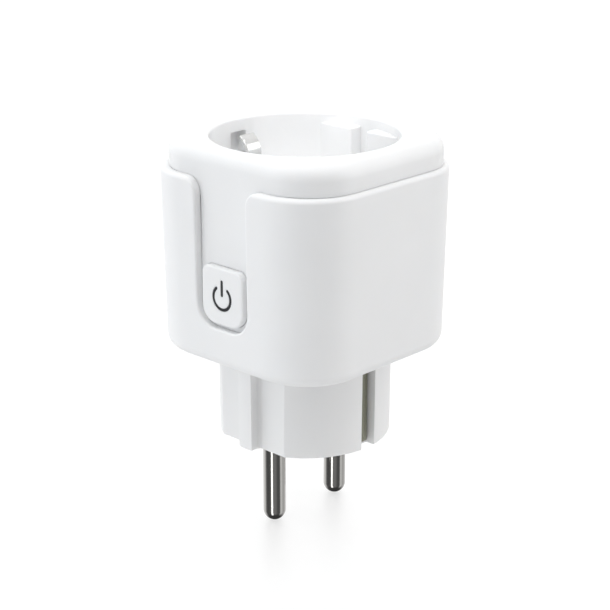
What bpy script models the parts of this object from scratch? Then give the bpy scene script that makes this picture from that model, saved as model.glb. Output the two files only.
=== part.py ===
"""Plug-in power meter: a mains adapter with pins below, a socket on top and a power button in front.

World frame: +Z up, origin at the centre of the plug's engagement face, pins pointing down.
-Y is the button side. The pins lie on the Y axis, the earth contacts on the X axis.
Every size below is in millimetres; MM turns it into Blender's metres.
"""

import math

import bmesh
import bpy
from mathutils import Matrix, Vector

MM = 0.001

# Plug: standard 19 mm pin pitch, 4.8 mm pins, 19 mm long.
PIN_PITCH = 19.0
PIN_Y = PIN_PITCH / 2
PIN_R = 2.4
PIN_LENGTH = 19.0
PIN_TAIL_R = 1.5
PIN_HOLE_R = PIN_R + 0.12
PIN_SHOULDER_Z = 14.0
PIN_TOP_Z = 28.6
PLUG_R = 18.15
PLUG_TOP_R = 18.3
PLUG_DEPTH = 17.6
PLUG_FLAT_Y = 15.8
PLUG_FLAT_REACH_X = 13.0
PLUG_RIB_HALF = 1.8
PLUG_CAVITY_R = 14.0
PLUG_FACE_T = 2.5
PIN_BOSS_R = 3.8
EARTH_SLOT_HALF = 2.0
EARTH_SLOT_X = 15.8

# Outer housing: a rounded square tube with a slight draft, closed below.
BODY_Z = 19.5
RIM_Z = 58.3
BODY_HALF_LOW = 24.22
BODY_HALF_HIGH = 24.73
BODY_CORNER_R = 12.9
WALL = 1.6
BODY_FLOOR_T = 2.2
BODY_FILLET = 2.6
RIM_FILLET = 0.5
GAP = 0.3

# Slot in the housing's front for the cover's tongue.
SLOT_HALF = 7.1
SLOT_Z = 27.95
SLOT_CORNER_R = 4.7
SLOT_FLARE_R = 3.2
TONGUE_GAP = 0.05

# Top cover with the socket recess.
TOP_Z = 64.5
COVER_Z = 58.35
COVER_HALF = 23.6
COVER_FRONT_Y = -22.8
COVER_CORNER_R = 11.8
COVER_FILLET = 3.3
COVER_PLATE_T = 1.8
SPIGOT_HALF = 22.8
SPIGOT_Z = 54.5
SPIGOT_T = 1.6
TONGUE_T = 1.6
RECESS_R = 19.6
RECESS_DEPTH = 17.5
RECESS_Z = TOP_Z - RECESS_DEPTH
RECESS_LIP = 0.6
CUP_R = 21.4
CUP_FLOOR_T = 1.8
CUP_Z = RECESS_Z - CUP_FLOOR_T
SOCKET_HOLE_R = 2.8
GUIDE_Y = 16.4
GUIDE_REACH_X = 14.0
GUIDE_GROOVE_HALF = 2.1
GUIDE_TOP_Z = TOP_Z - 2.2
CLIP_WINDOW_HALF = 2.3
CLIP_WINDOW_TOP_Z = 61.6
CLIP_WINDOW_WIDE_HALF = 5.3
CLIP_WINDOW_WIDE_Z = 56.8
CLIP_WINDOW_X = 22.0

# Screws through the housing floor and the plug flange into the cover's bosses.
SCREW_XY = 16.4
SCREW_R = 1.25
SCREW_HEAD_R = 2.2
SCREW_HEAD_Z = 19.6
SCREW_HEAD_T = 1.1
SCREW_TIP_Z = 34.5
BOSS_R = 2.6
BOSS_HOLE_R = 1.5
BOSS_HOLE_TOP_Z = 37.0
FLANGE_Z = 22.0
FLANGE_T = 1.6
FLANGE_HALF = 21.8
FLANGE_CORNER_R = 10.2
POST_XY = (18.6, 8.0)
POST_R = 1.4
POST_T = 1.8

# Power button and its switch.
BUTTON_HALF = 5.75
BUTTON_LOW_Z = 29.0
BUTTON_HIGH_Z = 41.0
BUTTON_LOW_CORNER_R = 3.5
BUTTON_HIGH_CORNER_R = 1.8
BUTTON_FACE_Y = -24.2
BUTTON_BACK_Y = -20.5
BUTTON_FACE_T = 1.0
BUTTON_WALL = 1.0
BUTTON_FLANGE_HALF = 6.7
BUTTON_Z = (BUTTON_LOW_Z + BUTTON_HIGH_Z) / 2
BUTTON_GAP = 0.25
SYMBOL_Z = 34.8
SYMBOL_R = 2.42
SYMBOL_STROKE = 0.6
SYMBOL_OPEN_DEG = 40.0
SYMBOL_BAR = (35.1, 38.6)
SYMBOL_GAP = 0.05
GUIDE_PLATE_HALF = (4.2, 4.4)
GUIDE_PLATE_T = 0.7
GUIDE_ROD_R = 1.5
SWITCH_TIP_Y = -19.0
SWITCH_FACE_Y = -17.9
SWITCH_BACK_Y = -15.4
SWITCH_PLUNGER_R = 1.7
SWITCH_BORE_R = 1.78
SWITCH_HALF = 3.0
SWITCH_STEM_LENGTH = 2.3

# Boards.
CONTROL_BOARD_Y = (-15.3, -14.3)
CONTROL_BOARD_HALF = 7.5
CONTROL_BOARD_Z = (28.4, 44.6)
LED_HALF = 1.0
LED_Z = (40.0, 41.3)
HEADER_HALF = 5.1
HEADER_TOP_Z = 30.1
HEADER_PITCH = 2.54
HEADER_PIN_HALF = 0.32
HEADER_PIN_TOP_Z = 31.6
POWER_BOARD_Z = (26.0, 27.6)
POWER_BOARD_HALF = 20.6
RADIO_BOARD_Y = (19.3, 20.1)
RADIO_BOARD_HALF = 8.0
RADIO_BOARD_Z = (28.2, 44.6)
SHIELD_HALF = 6.0
SHIELD_Z = (29.6, 39.6)
SHIELD_T = 1.95
SEAT_GAP = 0.15
SEAT_Z = POWER_BOARD_Z[1] + SEAT_GAP

# Parts on the power board: (x, y) corners and top, or centre, radius and height.
RELAY_BOX = ((-14.8, -9.2), (-4.6, 9.2), 42.3)
FILM_BOX = ((5.0, 3.5), (11.0, 16.5), 39.8)
RECTIFIER_BOX = ((-11.9, 12.2), (-7.1, 16.2), SEAT_Z + 2.4)
METER_CHIP_BOX = ((-5.6, 14.9), (4.3, 18.8), SEAT_Z + 1.6)
SUPPLY_CHIP_BOX = ((13.1, -8.2), (17.1, -3.2), SEAT_Z + 1.5)
BULK_CAN = ((8.6, -5.2), 4.0, 12.0)
OUTPUT_CAN = ((11.6, -12.4), 3.15, 11.0)
CHOKE_XY = (14.9, 8.0)
CHOKE_R = 3.2
CHOKE_NECK_R = 2.8
CHOKE_HEIGHT = 9.0
CHOKE_END_T = 1.2
VARISTOR_AT = (-19.4, 8.6, 33.2)
VARISTOR_R = 4.5
VARISTOR_T = 3.7
FUSE_AT = (-17.5, -12.7, 30.4)
FUSE_R = 2.1
FUSE_LENGTH = 9.0
SHUNT_Y = -12.0
SHUNT_BENDS_X = (-14.2, -13.8, -6.3, -5.9)
SHUNT_RISE = 2.2
SHUNT_WIDTH = 3.0
SHUNT_T = 0.5

# Socket contacts and earth parts.
CONTACT_R = 3.3
CONTACT_BORE_R = 2.5
CONTACT_SLIT_HALF = 0.35
CONTACT_Z = (33.5, 44.7)
STRIP_T = 0.6
EARTH_BRIDGE_Z = (43.0, 43.8)
EARTH_BRIDGE_HALF = 2.6
EARTH_TAIL_X = 16.2
CLIP_ROOT_X = 20.3
CLIP_ROOT_Z = 44.4
CLIP_WIDTH = 4.0
CLIP_BENDS = (
    (CLIP_ROOT_X, 44.1), (CLIP_ROOT_X, 47.5), (19.9, 50.5), (17.6, 53.6),
    (15.3, 56.0), (14.75, 57.8), (15.4, 59.6), (17.0, 61.3),
)
CLIP_BEND_STEPS = 3
SIDE_CONTACT_X = (15.95, 16.45)
SIDE_CONTACT_HALF = 1.55
SIDE_CONTACT_Z = (0.9, PLUG_DEPTH - 0.4)
TAIL_HALF = 1.4
TAIL_INSET = 0.02
STRAP_WIDTH = 4.0
STRAP_X = (3.9, 2.6)

WHITE = (0.86, 0.87, 0.88)
NICKEL = (0.55, 0.54, 0.52)


def start_scene():
    """Empties the scene and returns the collection for parts and the one for cutters."""
    for obj in list(bpy.data.objects):
        bpy.data.objects.remove(obj, do_unlink=True)
    root = bpy.context.scene.collection
    parts = bpy.data.collections.new("plug_in_power_meter")
    tools = bpy.data.collections.new("cutters")
    root.children.link(parts)
    root.children.link(tools)
    return parts, tools


PARTS, TOOLS = start_scene()


def material(name, colour, roughness, metallic=0.0):
    mat = bpy.data.materials.new(name)
    mat.use_nodes = True
    shader = mat.node_tree.nodes["Principled BSDF"]
    shader.inputs["Base Color"].default_value = (*colour, 1.0)
    shader.inputs["Roughness"].default_value = roughness
    shader.inputs["Metallic"].default_value = metallic
    return mat


def finish(obj, mat, sharp_deg=35.0):
    """Gives a part its material and smooth shading, and puts it among the parts."""
    obj.data.materials.clear()
    obj.data.materials.append(mat)
    obj.data.shade_smooth()
    obj.data.set_sharp_from_angle(angle=math.radians(sharp_deg))
    return obj


def link(name, bm):
    """Makes an object of a bmesh given in millimetres."""
    bmesh.ops.scale(bm, vec=(MM, MM, MM), verts=bm.verts)
    mesh = bpy.data.meshes.new(name)
    bm.to_mesh(mesh)
    bm.free()
    obj = bpy.data.objects.new(name, mesh)
    PARTS.objects.link(obj)
    return obj


def as_tool(obj):
    """Turns an object into a cutter or joining tool, which the build leaves out."""
    for collection in list(obj.users_collection):
        collection.objects.unlink(obj)
    TOOLS.objects.link(obj)
    obj.name = "tool_" + obj.name
    obj.hide_render = True
    obj.display_type = "WIRE"
    return obj


def boolean(obj, tool, operation):
    mod = obj.modifiers.new(operation.lower(), "BOOLEAN")
    mod.operation = operation
    mod.solver = "EXACT"
    mod.object = as_tool(tool)
    return obj


def cut(obj, *tools):
    for tool in tools:
        boolean(obj, tool, "DIFFERENCE")
    return obj


def join(obj, *tools):
    for tool in tools:
        boolean(obj, tool, "UNION")
    return obj


def bevel_edges(bm, wanted, radius, steps):
    edges = [edge for edge in bm.edges if wanted(edge)]
    bmesh.ops.bevel(
        bm, geom=edges, offset=radius, segments=steps, profile=0.5, affect="EDGES", clamp_overlap=True
    )


def block(name, low, high, corner=0.0, corner_steps=6, top=0.0, bottom=0.0, edge_steps=3, draft=0.0):
    """A box from corner to corner. corner rounds its upright edges, top and bottom its level ones.

    draft is how much further in each side stands at the bottom than at the top."""
    low = Vector(low)
    high = Vector(high)
    bm = bmesh.new()
    bmesh.ops.create_cube(bm, size=1.0)
    size = high - low
    bmesh.ops.scale(bm, vec=size, verts=bm.verts)
    bmesh.ops.translate(bm, vec=(low + high) / 2, verts=bm.verts)
    for vert in bm.verts:
        if draft and vert.co.z < low.z + size.z / 2:
            vert.co.x -= math.copysign(draft, vert.co.x)
            vert.co.y -= math.copysign(draft, vert.co.y)
    near = size.length * 1e-5

    def level_at(edge, z):
        return all(abs(vert.co.z - z) < near for vert in edge.verts)

    if corner:
        bevel_edges(bm, lambda e: not level_at(e, low.z) and not level_at(e, high.z), corner, corner_steps)
    if top:
        bevel_edges(bm, lambda e: level_at(e, high.z), top, edge_steps)
    if bottom:
        bevel_edges(bm, lambda e: level_at(e, low.z), bottom, edge_steps)
    return link(name, bm)


def cylinder(name, centre, radius, length, axis="Z", steps=32, end_radius=None, edge=0.0):
    """A cylinder whose first end is at centre and which runs along +axis for length."""
    bm = bmesh.new()
    last = radius if end_radius is None else end_radius
    bmesh.ops.create_cone(bm, cap_ends=True, segments=steps, radius1=radius, radius2=last, depth=length)
    if edge:
        rims = [e for e in bm.edges if abs(e.verts[0].co.z - e.verts[1].co.z) < length * 1e-4]
        bmesh.ops.bevel(bm, geom=rims, offset=edge, segments=2, profile=0.5, affect="EDGES")
    bmesh.ops.translate(bm, vec=(0, 0, length / 2), verts=bm.verts)
    turn = {
        "X": Matrix.Rotation(math.radians(90), 3, "Y"),
        "Y": Matrix.Rotation(math.radians(-90), 3, "X"),
        "Z": Matrix.Identity(3),
    }[axis]
    bmesh.ops.transform(bm, matrix=turn.to_4x4(), verts=bm.verts)
    bmesh.ops.translate(bm, vec=centre, verts=bm.verts)
    return link(name, bm)


def turned(name, profile, place, steps=32):
    """A round piece from a profile of (radius, z) that runs down its outer side, as a Screw."""
    bm = bmesh.new()
    verts = [bm.verts.new((radius, 0, z)) for radius, z in profile]
    for first, second in zip(verts, verts[1:]):
        bm.edges.new((first, second))
    obj = link(name, bm)
    obj.location = Vector(place) * MM
    mod = obj.modifiers.new("turn", "SCREW")
    mod.axis = "Z"
    mod.angle = math.tau
    mod.steps = steps
    mod.render_steps = steps
    mod.use_merge_vertices = True
    mod.merge_threshold = 1e-6
    mod.use_smooth_shade = True
    return obj


def arc(centre, radius, start_deg, end_deg, steps):
    """Points on an arc, both ends included."""
    points = []
    for step in range(steps + 1):
        angle = math.radians(start_deg + (end_deg - start_deg) * step / steps)
        points.append((centre[0] + radius * math.cos(angle), centre[1] + radius * math.sin(angle)))
    return points


def front_plate(name, outline, y_from, y_to):
    """A flat outline of (x, z) points given a thickness from y_from to y_to."""
    curve = bpy.data.curves.new(name, "CURVE")
    curve.dimensions = "2D"
    curve.fill_mode = "BOTH"
    curve.extrude = (y_to - y_from) / 2 * MM
    spline = curve.splines.new("POLY")
    spline.points.add(len(outline) - 1)
    for point, (x, z) in zip(spline.points, outline):
        point.co = (x * MM, z * MM, 0.0, 1.0)
    spline.use_cyclic_u = True
    drawn = bpy.data.objects.new(name + "_curve", curve)
    drawn.rotation_euler = (math.radians(90), 0, 0)
    drawn.location = (0, (y_from + y_to) / 2 * MM, 0)
    PARTS.objects.link(drawn)
    bpy.context.view_layer.update()
    graph = bpy.context.evaluated_depsgraph_get()
    mesh = bpy.data.meshes.new_from_object(drawn.evaluated_get(graph))
    mesh.transform(drawn.matrix_world)
    bpy.data.objects.remove(drawn, do_unlink=True)
    bm = bmesh.new()
    bm.from_mesh(mesh)
    bmesh.ops.remove_doubles(bm, verts=bm.verts, dist=0.001 * MM)
    bmesh.ops.recalc_face_normals(bm, faces=bm.faces)
    bm.to_mesh(mesh)
    bm.free()
    obj = bpy.data.objects.new(name, mesh)
    PARTS.objects.link(obj)
    return obj


def bent_strip(name, path, width, thickness):
    """A metal strip: a path of (x, z) points swept to a width along Y, then given a thickness."""
    bm = bmesh.new()
    rows = []
    for x, z in path:
        rows.append((bm.verts.new((x, -width / 2, z)), bm.verts.new((x, width / 2, z))))
    for (a, b), (c, d) in zip(rows, rows[1:]):
        bm.faces.new((a, c, d, b))
    obj = link(name, bm)
    mod = obj.modifiers.new("thickness", "SOLIDIFY")
    mod.thickness = thickness * MM
    mod.offset = 0.0
    mod.use_even_offset = True
    return obj


def set_pivot(obj, pivot):
    """Moves an object's origin to a pivot given in millimetres, leaving its shape in place."""
    shift = Vector(pivot) * MM
    obj.data.transform(Matrix.Translation(-shift))
    obj.location = obj.location + shift
    return obj


def rounded_outline(half, low, high, low_r, high_r, steps=6):
    """An upright rounded rectangle, with one corner radius below and another above."""
    return (
        arc((half - low_r, low + low_r), low_r, -90, 0, steps)
        + arc((half - high_r, high - high_r), high_r, 0, 90, steps)
        + arc((high_r - half, high - high_r), high_r, 90, 180, steps)
        + arc((low_r - half, low + low_r), low_r, 180, 270, steps)
    )


def between(side, near, far):
    """The lower and higher of two distances on one side."""
    return sorted((side * near, side * far))


def four_corners(distance):
    return [(sx * distance, sy * distance) for sx in (-1, 1) for sy in (-1, 1)]


def outer_housing(mat):
    top = RIM_Z
    shell = block(
        "outer_housing",
        (-BODY_HALF_HIGH, -BODY_HALF_HIGH, BODY_Z),
        (BODY_HALF_HIGH, BODY_HALF_HIGH, top),
        corner=BODY_CORNER_R,
        corner_steps=10,
        top=RIM_FILLET,
        bottom=BODY_FILLET,
        edge_steps=4,
        draft=BODY_HALF_HIGH - BODY_HALF_LOW,
    )
    inner_half = BODY_HALF_HIGH - WALL
    hollow = block(
        "housing_hollow",
        (-inner_half, -inner_half, BODY_Z + BODY_FLOOR_T),
        (inner_half, inner_half, top + 2),
        corner=BODY_CORNER_R - WALL,
        corner_steps=10,
        bottom=1.0,
        draft=BODY_HALF_HIGH - BODY_HALF_LOW,
    )
    flare_centre = SLOT_HALF + SLOT_FLARE_R
    low_centre = (SLOT_HALF - SLOT_CORNER_R, SLOT_Z + SLOT_CORNER_R)
    right = arc(low_centre, SLOT_CORNER_R, -90, 0, 8)
    right += arc((flare_centre, top - SLOT_FLARE_R), SLOT_FLARE_R, 180, 90, 8)
    right.append((flare_centre, top + 2))
    left = [(-x, z) for x, z in reversed(right)]
    slot = front_plate("tongue_slot", right + left, -BODY_HALF_HIGH - 2, -BODY_HALF_HIGH + 4)
    plug_hole = cylinder("plug_hole", (0, 0, BODY_Z - 1), PLUG_TOP_R + GAP, BODY_FLOOR_T + 3, steps=72)
    cut(shell, hollow, slot, plug_hole)
    for x, y in four_corners(SCREW_XY):
        head = cylinder("screw_head_hole", (x, y, BODY_Z - 1), SCREW_HEAD_R + GAP, 2.3, steps=24)
        shank = cylinder("screw_hole", (x, y, BODY_Z), BOSS_HOLE_R, 4, steps=20)
        cut(shell, head, shank)
    return finish(shell, mat)


def recess_tool():
    """The hollow of the socket: a round recess less the two pairs of guides on its front and back."""
    well = cylinder("recess", (0, 0, RECESS_Z), RECESS_R, RECESS_DEPTH + 1, steps=96)
    for side in (-1, 1):
        near, far = between(side, GUIDE_Y, RECESS_R + 3)
        for left, right in ((-GUIDE_REACH_X, -GUIDE_GROOVE_HALF), (GUIDE_GROOVE_HALF, GUIDE_REACH_X)):
            low = (left, near, RECESS_Z - 1)
            high = (right, far, GUIDE_TOP_Z)
            cut(well, block("guide", low, high, corner=0.5, corner_steps=3))
    return well


def top_cover(mat):
    shell = block(
        "top_cover",
        (-COVER_HALF, COVER_FRONT_Y, COVER_Z),
        (COVER_HALF, COVER_HALF, TOP_Z),
        corner=COVER_CORNER_R,
        corner_steps=10,
        top=COVER_FILLET,
        edge_steps=6,
    )
    spigot = block(
        "spigot",
        (-SPIGOT_HALF, -SPIGOT_HALF, SPIGOT_Z),
        (SPIGOT_HALF, SPIGOT_HALF, COVER_Z + 0.9),
        corner=COVER_CORNER_R - 0.8,
        corner_steps=10,
    )
    strip = rounded_outline(
        SLOT_HALF - TONGUE_GAP, SLOT_Z + TONGUE_GAP, COVER_Z + 0.7, SLOT_CORNER_R - TONGUE_GAP, 0.5
    )
    tongue = front_plate("tongue", strip, COVER_FRONT_Y, COVER_FRONT_Y + TONGUE_T)
    inside = SPIGOT_HALF - SPIGOT_T
    hollow = block(
        "cover_hollow",
        (-inside, -inside, SPIGOT_Z - 1),
        (inside, inside, TOP_Z - COVER_PLATE_T),
        corner=COVER_CORNER_R - 2.4,
        corner_steps=8,
    )
    cup = cylinder("cup", (0, 0, CUP_Z), CUP_R, TOP_Z - 1.0 - CUP_Z, steps=72)
    join(shell, spigot)
    cut(shell, hollow)
    join(shell, tongue, cup)
    boss_z = FLANGE_Z + FLANGE_T + GAP
    for x, y in four_corners(SCREW_XY):
        join(shell, cylinder("boss", (x, y, boss_z), BOSS_R, TOP_Z - COVER_PLATE_T / 2 - boss_z, steps=24))
    cut(shell, recess_tool())
    cut(shell, turned("recess_lip", lip_profile(), (0, 0, 0), steps=96))
    for side in (-1, 1):
        cut(shell, cylinder("pin_entry", (0, side * PIN_Y, CUP_Z - 1), SOCKET_HOLE_R, 4, steps=32))
        cut(shell, *clip_windows(side))
    for x, y in four_corners(SCREW_XY):
        cut(shell, cylinder("pilot", (x, y, FLANGE_Z), BOSS_HOLE_R, BOSS_HOLE_TOP_Z - FLANGE_Z, steps=20))
    opening = rounded_outline(
        BUTTON_HALF + BUTTON_GAP,
        BUTTON_LOW_Z - BUTTON_GAP,
        BUTTON_HIGH_Z + BUTTON_GAP,
        BUTTON_LOW_CORNER_R + BUTTON_GAP,
        BUTTON_HIGH_CORNER_R + BUTTON_GAP,
    )
    cut(shell, front_plate("button_opening", opening, COVER_FRONT_Y - 1, COVER_FRONT_Y + TONGUE_T + 1))
    return finish(shell, mat)


def lip_profile():
    """A ring tool that rounds the socket's rim, drawn down its outer side."""
    mouth = RECESS_R + RECESS_LIP
    curve = arc((mouth, TOP_Z - RECESS_LIP), RECESS_LIP, 90, 180, 5)
    above = [(0.0, TOP_Z + 1), (mouth, TOP_Z + 1)]
    below = [(RECESS_R - 2.0, TOP_Z - RECESS_LIP - 0.4), (0.0, TOP_Z - 2)]
    return above + curve + below


def clip_windows(side):
    """The openings beside the recess that let an earth clip reach into it."""
    inner = RECESS_R - 1.6

    def window(name, half, low, high, inside):
        near, far = between(side, inside, CLIP_WINDOW_X)
        return block(name, (near, -half, low), (far, half, high))

    return (
        window("clip_window", CLIP_WINDOW_HALF, RECESS_Z + 0.01, CLIP_WINDOW_TOP_Z, inner),
        window("clip_wide_window", CLIP_WINDOW_WIDE_HALF, RECESS_Z + 0.02, CLIP_WINDOW_WIDE_Z, inner),
        window("clip_passage", CLIP_WINDOW_HALF, CUP_Z - 1, RECESS_Z + 1, RECESS_R - 0.3),
    )


def plug_base(mat):
    body = cylinder("plug_base", (0, 0, 0), PLUG_R, PLUG_DEPTH + 5, steps=96, end_radius=PLUG_TOP_R)
    outside = PLUG_R + 3
    for side in (-1, 1):
        near, far = between(side, PLUG_FLAT_Y, outside)
        for left, right in ((-PLUG_FLAT_REACH_X, -PLUG_RIB_HALF), (PLUG_RIB_HALF, PLUG_FLAT_REACH_X)):
            low = (left, near, -1)
            high = (right, far, PLUG_DEPTH)
            cut(body, block("plug_flat", low, high, corner=0.8, corner_steps=4))
        near, far = between(side, EARTH_SLOT_X, outside)
        cut(body, block("earth_slot", (near, -EARTH_SLOT_HALF, -1), (far, EARTH_SLOT_HALF, PLUG_DEPTH)))
    flange = block(
        "plug_flange",
        (-FLANGE_HALF, -FLANGE_HALF, FLANGE_Z),
        (FLANGE_HALF, FLANGE_HALF, FLANGE_Z + FLANGE_T),
        corner=FLANGE_CORNER_R,
        corner_steps=8,
    )
    join(body, flange)
    cut(body, cylinder("plug_cavity", (0, 0, PLUG_FACE_T), PLUG_CAVITY_R, FLANGE_Z + 2, steps=64))
    x, y = POST_XY
    for side in (-1, 1):
        foot = (0, side * PIN_Y, PLUG_FACE_T - 1)
        join(body, cylinder("pin_boss", foot, PIN_BOSS_R, PIN_SHOULDER_Z, steps=32))
        for foot in ((side * x, -y, FLANGE_Z + 1), (side * x, y, FLANGE_Z + 1)):
            join(body, cylinder("board_post", foot, POST_R, POST_T + 1, steps=20))
    for side in (-1, 1):
        cut(body, cylinder("pin_hole", (0, side * PIN_Y, -1), PIN_HOLE_R, PIN_SHOULDER_Z + 6, steps=32))
        near, far = between(side, EARTH_TAIL_X - 0.6, EARTH_TAIL_X + 0.6)
        low = (near, -EARTH_SLOT_HALF, PLUG_DEPTH - 1)
        high = (far, EARTH_SLOT_HALF, FLANGE_Z + 4)
        cut(body, block("tail_hole", low, high))
    for x, y in four_corners(SCREW_XY):
        cut(body, cylinder("flange_hole", (x, y, FLANGE_Z - 1), BOSS_HOLE_R, 4, steps=20))
    return finish(body, mat)


def button_cap(mat):
    outline = rounded_outline(
        BUTTON_HALF, BUTTON_LOW_Z, BUTTON_HIGH_Z, BUTTON_LOW_CORNER_R, BUTTON_HIGH_CORNER_R
    )
    cap = front_plate("button_cap", outline, BUTTON_FACE_Y, BUTTON_BACK_Y)
    wide = BUTTON_FLANGE_HALF
    flange = rounded_outline(wide, BUTTON_LOW_Z - 0.4, BUTTON_HIGH_Z + 0.9, BUTTON_LOW_CORNER_R + 0.6, 2.0)
    join(cap, front_plate("button_flange", flange, BUTTON_BACK_Y - 0.2, BUTTON_BACK_Y + 0.6))
    inside = BUTTON_HALF - BUTTON_WALL
    cavity = rounded_outline(inside, BUTTON_LOW_Z + BUTTON_WALL, BUTTON_HIGH_Z - BUTTON_WALL, 2.5, 1.0)
    cut(cap, front_plate("button_cavity", cavity, BUTTON_FACE_Y + BUTTON_FACE_T, BUTTON_BACK_Y + 2))
    for tool in symbol_strokes(SYMBOL_GAP, BUTTON_FACE_Y - 1, BUTTON_FACE_Y + BUTTON_FACE_T + 1):
        cut(cap, tool)
    return finish(set_pivot(cap, (0, BUTTON_FACE_Y, BUTTON_Z)), mat)


def symbol_strokes(grow, y_from, y_to):
    """The open ring and the bar of a power symbol, each grown all round by grow."""
    half = SYMBOL_STROKE / 2 + grow
    spread = math.degrees(grow / SYMBOL_R)
    start = 90 + SYMBOL_OPEN_DEG - spread
    end = 450 - SYMBOL_OPEN_DEG + spread
    outer = arc((0, SYMBOL_Z), SYMBOL_R + half, start, end, 28)
    inner = arc((0, SYMBOL_Z), SYMBOL_R - half, end, start, 28)
    ring = front_plate("symbol_ring", outer + inner, y_from, y_to)
    low, high = SYMBOL_BAR
    stroke = rounded_outline(half, low - grow, high + grow, half * 0.9, half * 0.9, 3)
    bar = front_plate("symbol_bar", stroke, y_from, y_to)
    return ring, bar


def symbol_light_guide(mat):
    """A clear insert behind the button's face: its strokes fill the symbol, its rod works the switch."""
    back = BUTTON_FACE_Y + BUTTON_FACE_T + 0.15
    wide, tall = GUIDE_PLATE_HALF
    outline = rounded_outline(wide, BUTTON_Z - tall, BUTTON_Z + tall, 2.0, 0.8, 4)
    guide = front_plate("symbol_light_guide", outline, back, back + GUIDE_PLATE_T)
    inside = back + 0.3
    join(guide, *symbol_strokes(0.0, BUTTON_FACE_Y + 0.03, inside))
    length = SWITCH_TIP_Y - GAP - inside
    join(guide, cylinder("switch_rod", (0, inside, BUTTON_Z), GUIDE_ROD_R, length, axis="Y", steps=24))
    return finish(set_pivot(guide, (0, BUTTON_FACE_Y, BUTTON_Z)), mat)


def tact_switch(body_mat, plunger_mat):
    half = SWITCH_HALF
    low = (-half, SWITCH_FACE_Y, BUTTON_Z - half)
    high = (half, SWITCH_BACK_Y, BUTTON_Z + half)
    body = block("switch_body", low, high)
    bore = cylinder("switch_bore", (0, SWITCH_FACE_Y - 1, BUTTON_Z), SWITCH_BORE_R, 2.8, axis="Y", steps=24)
    cut(body, bore)
    finish(body, body_mat)
    tip = (0, SWITCH_TIP_Y, BUTTON_Z)
    length = SWITCH_STEM_LENGTH
    plunger = cylinder("switch_plunger", tip, SWITCH_PLUNGER_R, length, axis="Y", steps=24, edge=0.2)
    return finish(set_pivot(plunger, tip), plunger_mat)


def control_board(board_mat, led_mat, header_mat):
    front, back = CONTROL_BOARD_Y
    low, high = CONTROL_BOARD_Z
    half = CONTROL_BOARD_HALF
    finish(block("control_board", (-half, front, low), (half, back, high)), board_mat)
    low, high = LED_Z
    led = block("status_led", (-LED_HALF, front - SEAT_GAP - 0.8, low), (LED_HALF, front - SEAT_GAP, high))
    finish(led, led_mat)
    near = back + SEAT_GAP
    header = block("board_header", (-HEADER_HALF, near, SEAT_Z), (HEADER_HALF, near + 2.45, HEADER_TOP_Z))
    half = HEADER_PIN_HALF
    middle = back + 1.32
    for pin_number in range(4):
        x = HEADER_PITCH * (pin_number - 1.5)
        low = (x - half, middle - half, SEAT_Z + 1)
        high = (x + half, middle + half, HEADER_PIN_TOP_Z)
        join(header, block("header_pin", low, high))
    finish(header, header_mat)


def power_board(mat):
    low, high = POWER_BOARD_Z
    half = POWER_BOARD_HALF
    board = block("power_board", (-half, -half, low), (half, half, high), corner=8.0, corner_steps=5)
    for x, y in four_corners(SCREW_XY):
        notch = cylinder("boss_notch", (x, y, low - 1), BOSS_R + GAP, 4, steps=24)
        corner = (x + math.copysign(3, x), y + math.copysign(3, y), low - 1)
        cut(board, notch, cylinder("corner_notch", corner, 5.2, 4, steps=24))
    for side in (-1, 1):
        cut(board, cylinder("tail_hole", (0, side * PIN_Y, low - 1), PIN_TAIL_R + 0.2, 4, steps=24))
        near, far = between(side, EARTH_TAIL_X - 0.8, EARTH_TAIL_X + 0.8)
        cut(board, block("earth_hole", (near, -2.2, low - 1), (far, 2.2, high + 1)))
    return finish(board, mat)


def on_board(name, box, **edges):
    """A box-shaped part that stands on the power board."""
    low, high, top = box
    return block(name, (*low, SEAT_Z), (*high, top), **edges)


def relay(mat):
    case = on_board("relay", RELAY_BOX, corner=0.8, corner_steps=2, top=0.6, edge_steps=2)
    return finish(case, mat)


def can(name, size, mat):
    """An electrolytic capacitor: a can with a crimped neck and a rolled rim."""
    (x, y), radius, height = size
    neck = radius - 0.35
    top = SEAT_Z + height
    profile = [
        (0.0, top - 0.2),
        (radius - 0.6, top - 0.2),
        (radius - 0.5, top),
        (radius - 0.2, top - 0.1),
        (radius, top - 0.4),
        (radius, SEAT_Z + 2.3),
        (neck, SEAT_Z + 1.9),
        (neck, SEAT_Z + 1.5),
        (radius, SEAT_Z + 1.1),
        (radius - 0.1, SEAT_Z),
        (0.0, SEAT_Z),
    ]
    return finish(turned(name, profile, (x, y, 0), steps=20), mat)


def choke(mat):
    """A drum core: wide ends with the winding between them."""
    low = SEAT_Z
    high = low + CHOKE_HEIGHT
    profile = [
        (0.0, high),
        (CHOKE_R, high),
        (CHOKE_R, high - CHOKE_END_T),
        (CHOKE_NECK_R, high - CHOKE_END_T),
        (CHOKE_NECK_R, low + CHOKE_END_T),
        (CHOKE_R, low + CHOKE_END_T),
        (CHOKE_R, low),
        (0.0, low),
    ]
    return finish(turned("choke", profile, (*CHOKE_XY, 0), steps=20), mat)


def current_shunt(mat):
    start, rise_from, rise_to, end = SHUNT_BENDS_X
    low = SEAT_Z + 0.35
    high = low + SHUNT_RISE
    path = [(start, low), (rise_from, high), (rise_to, high), (end, low)]
    shunt = bent_strip("current_shunt", path, SHUNT_WIDTH, SHUNT_T)
    shunt.location.y = SHUNT_Y * MM
    return finish(shunt, mat)


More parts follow.
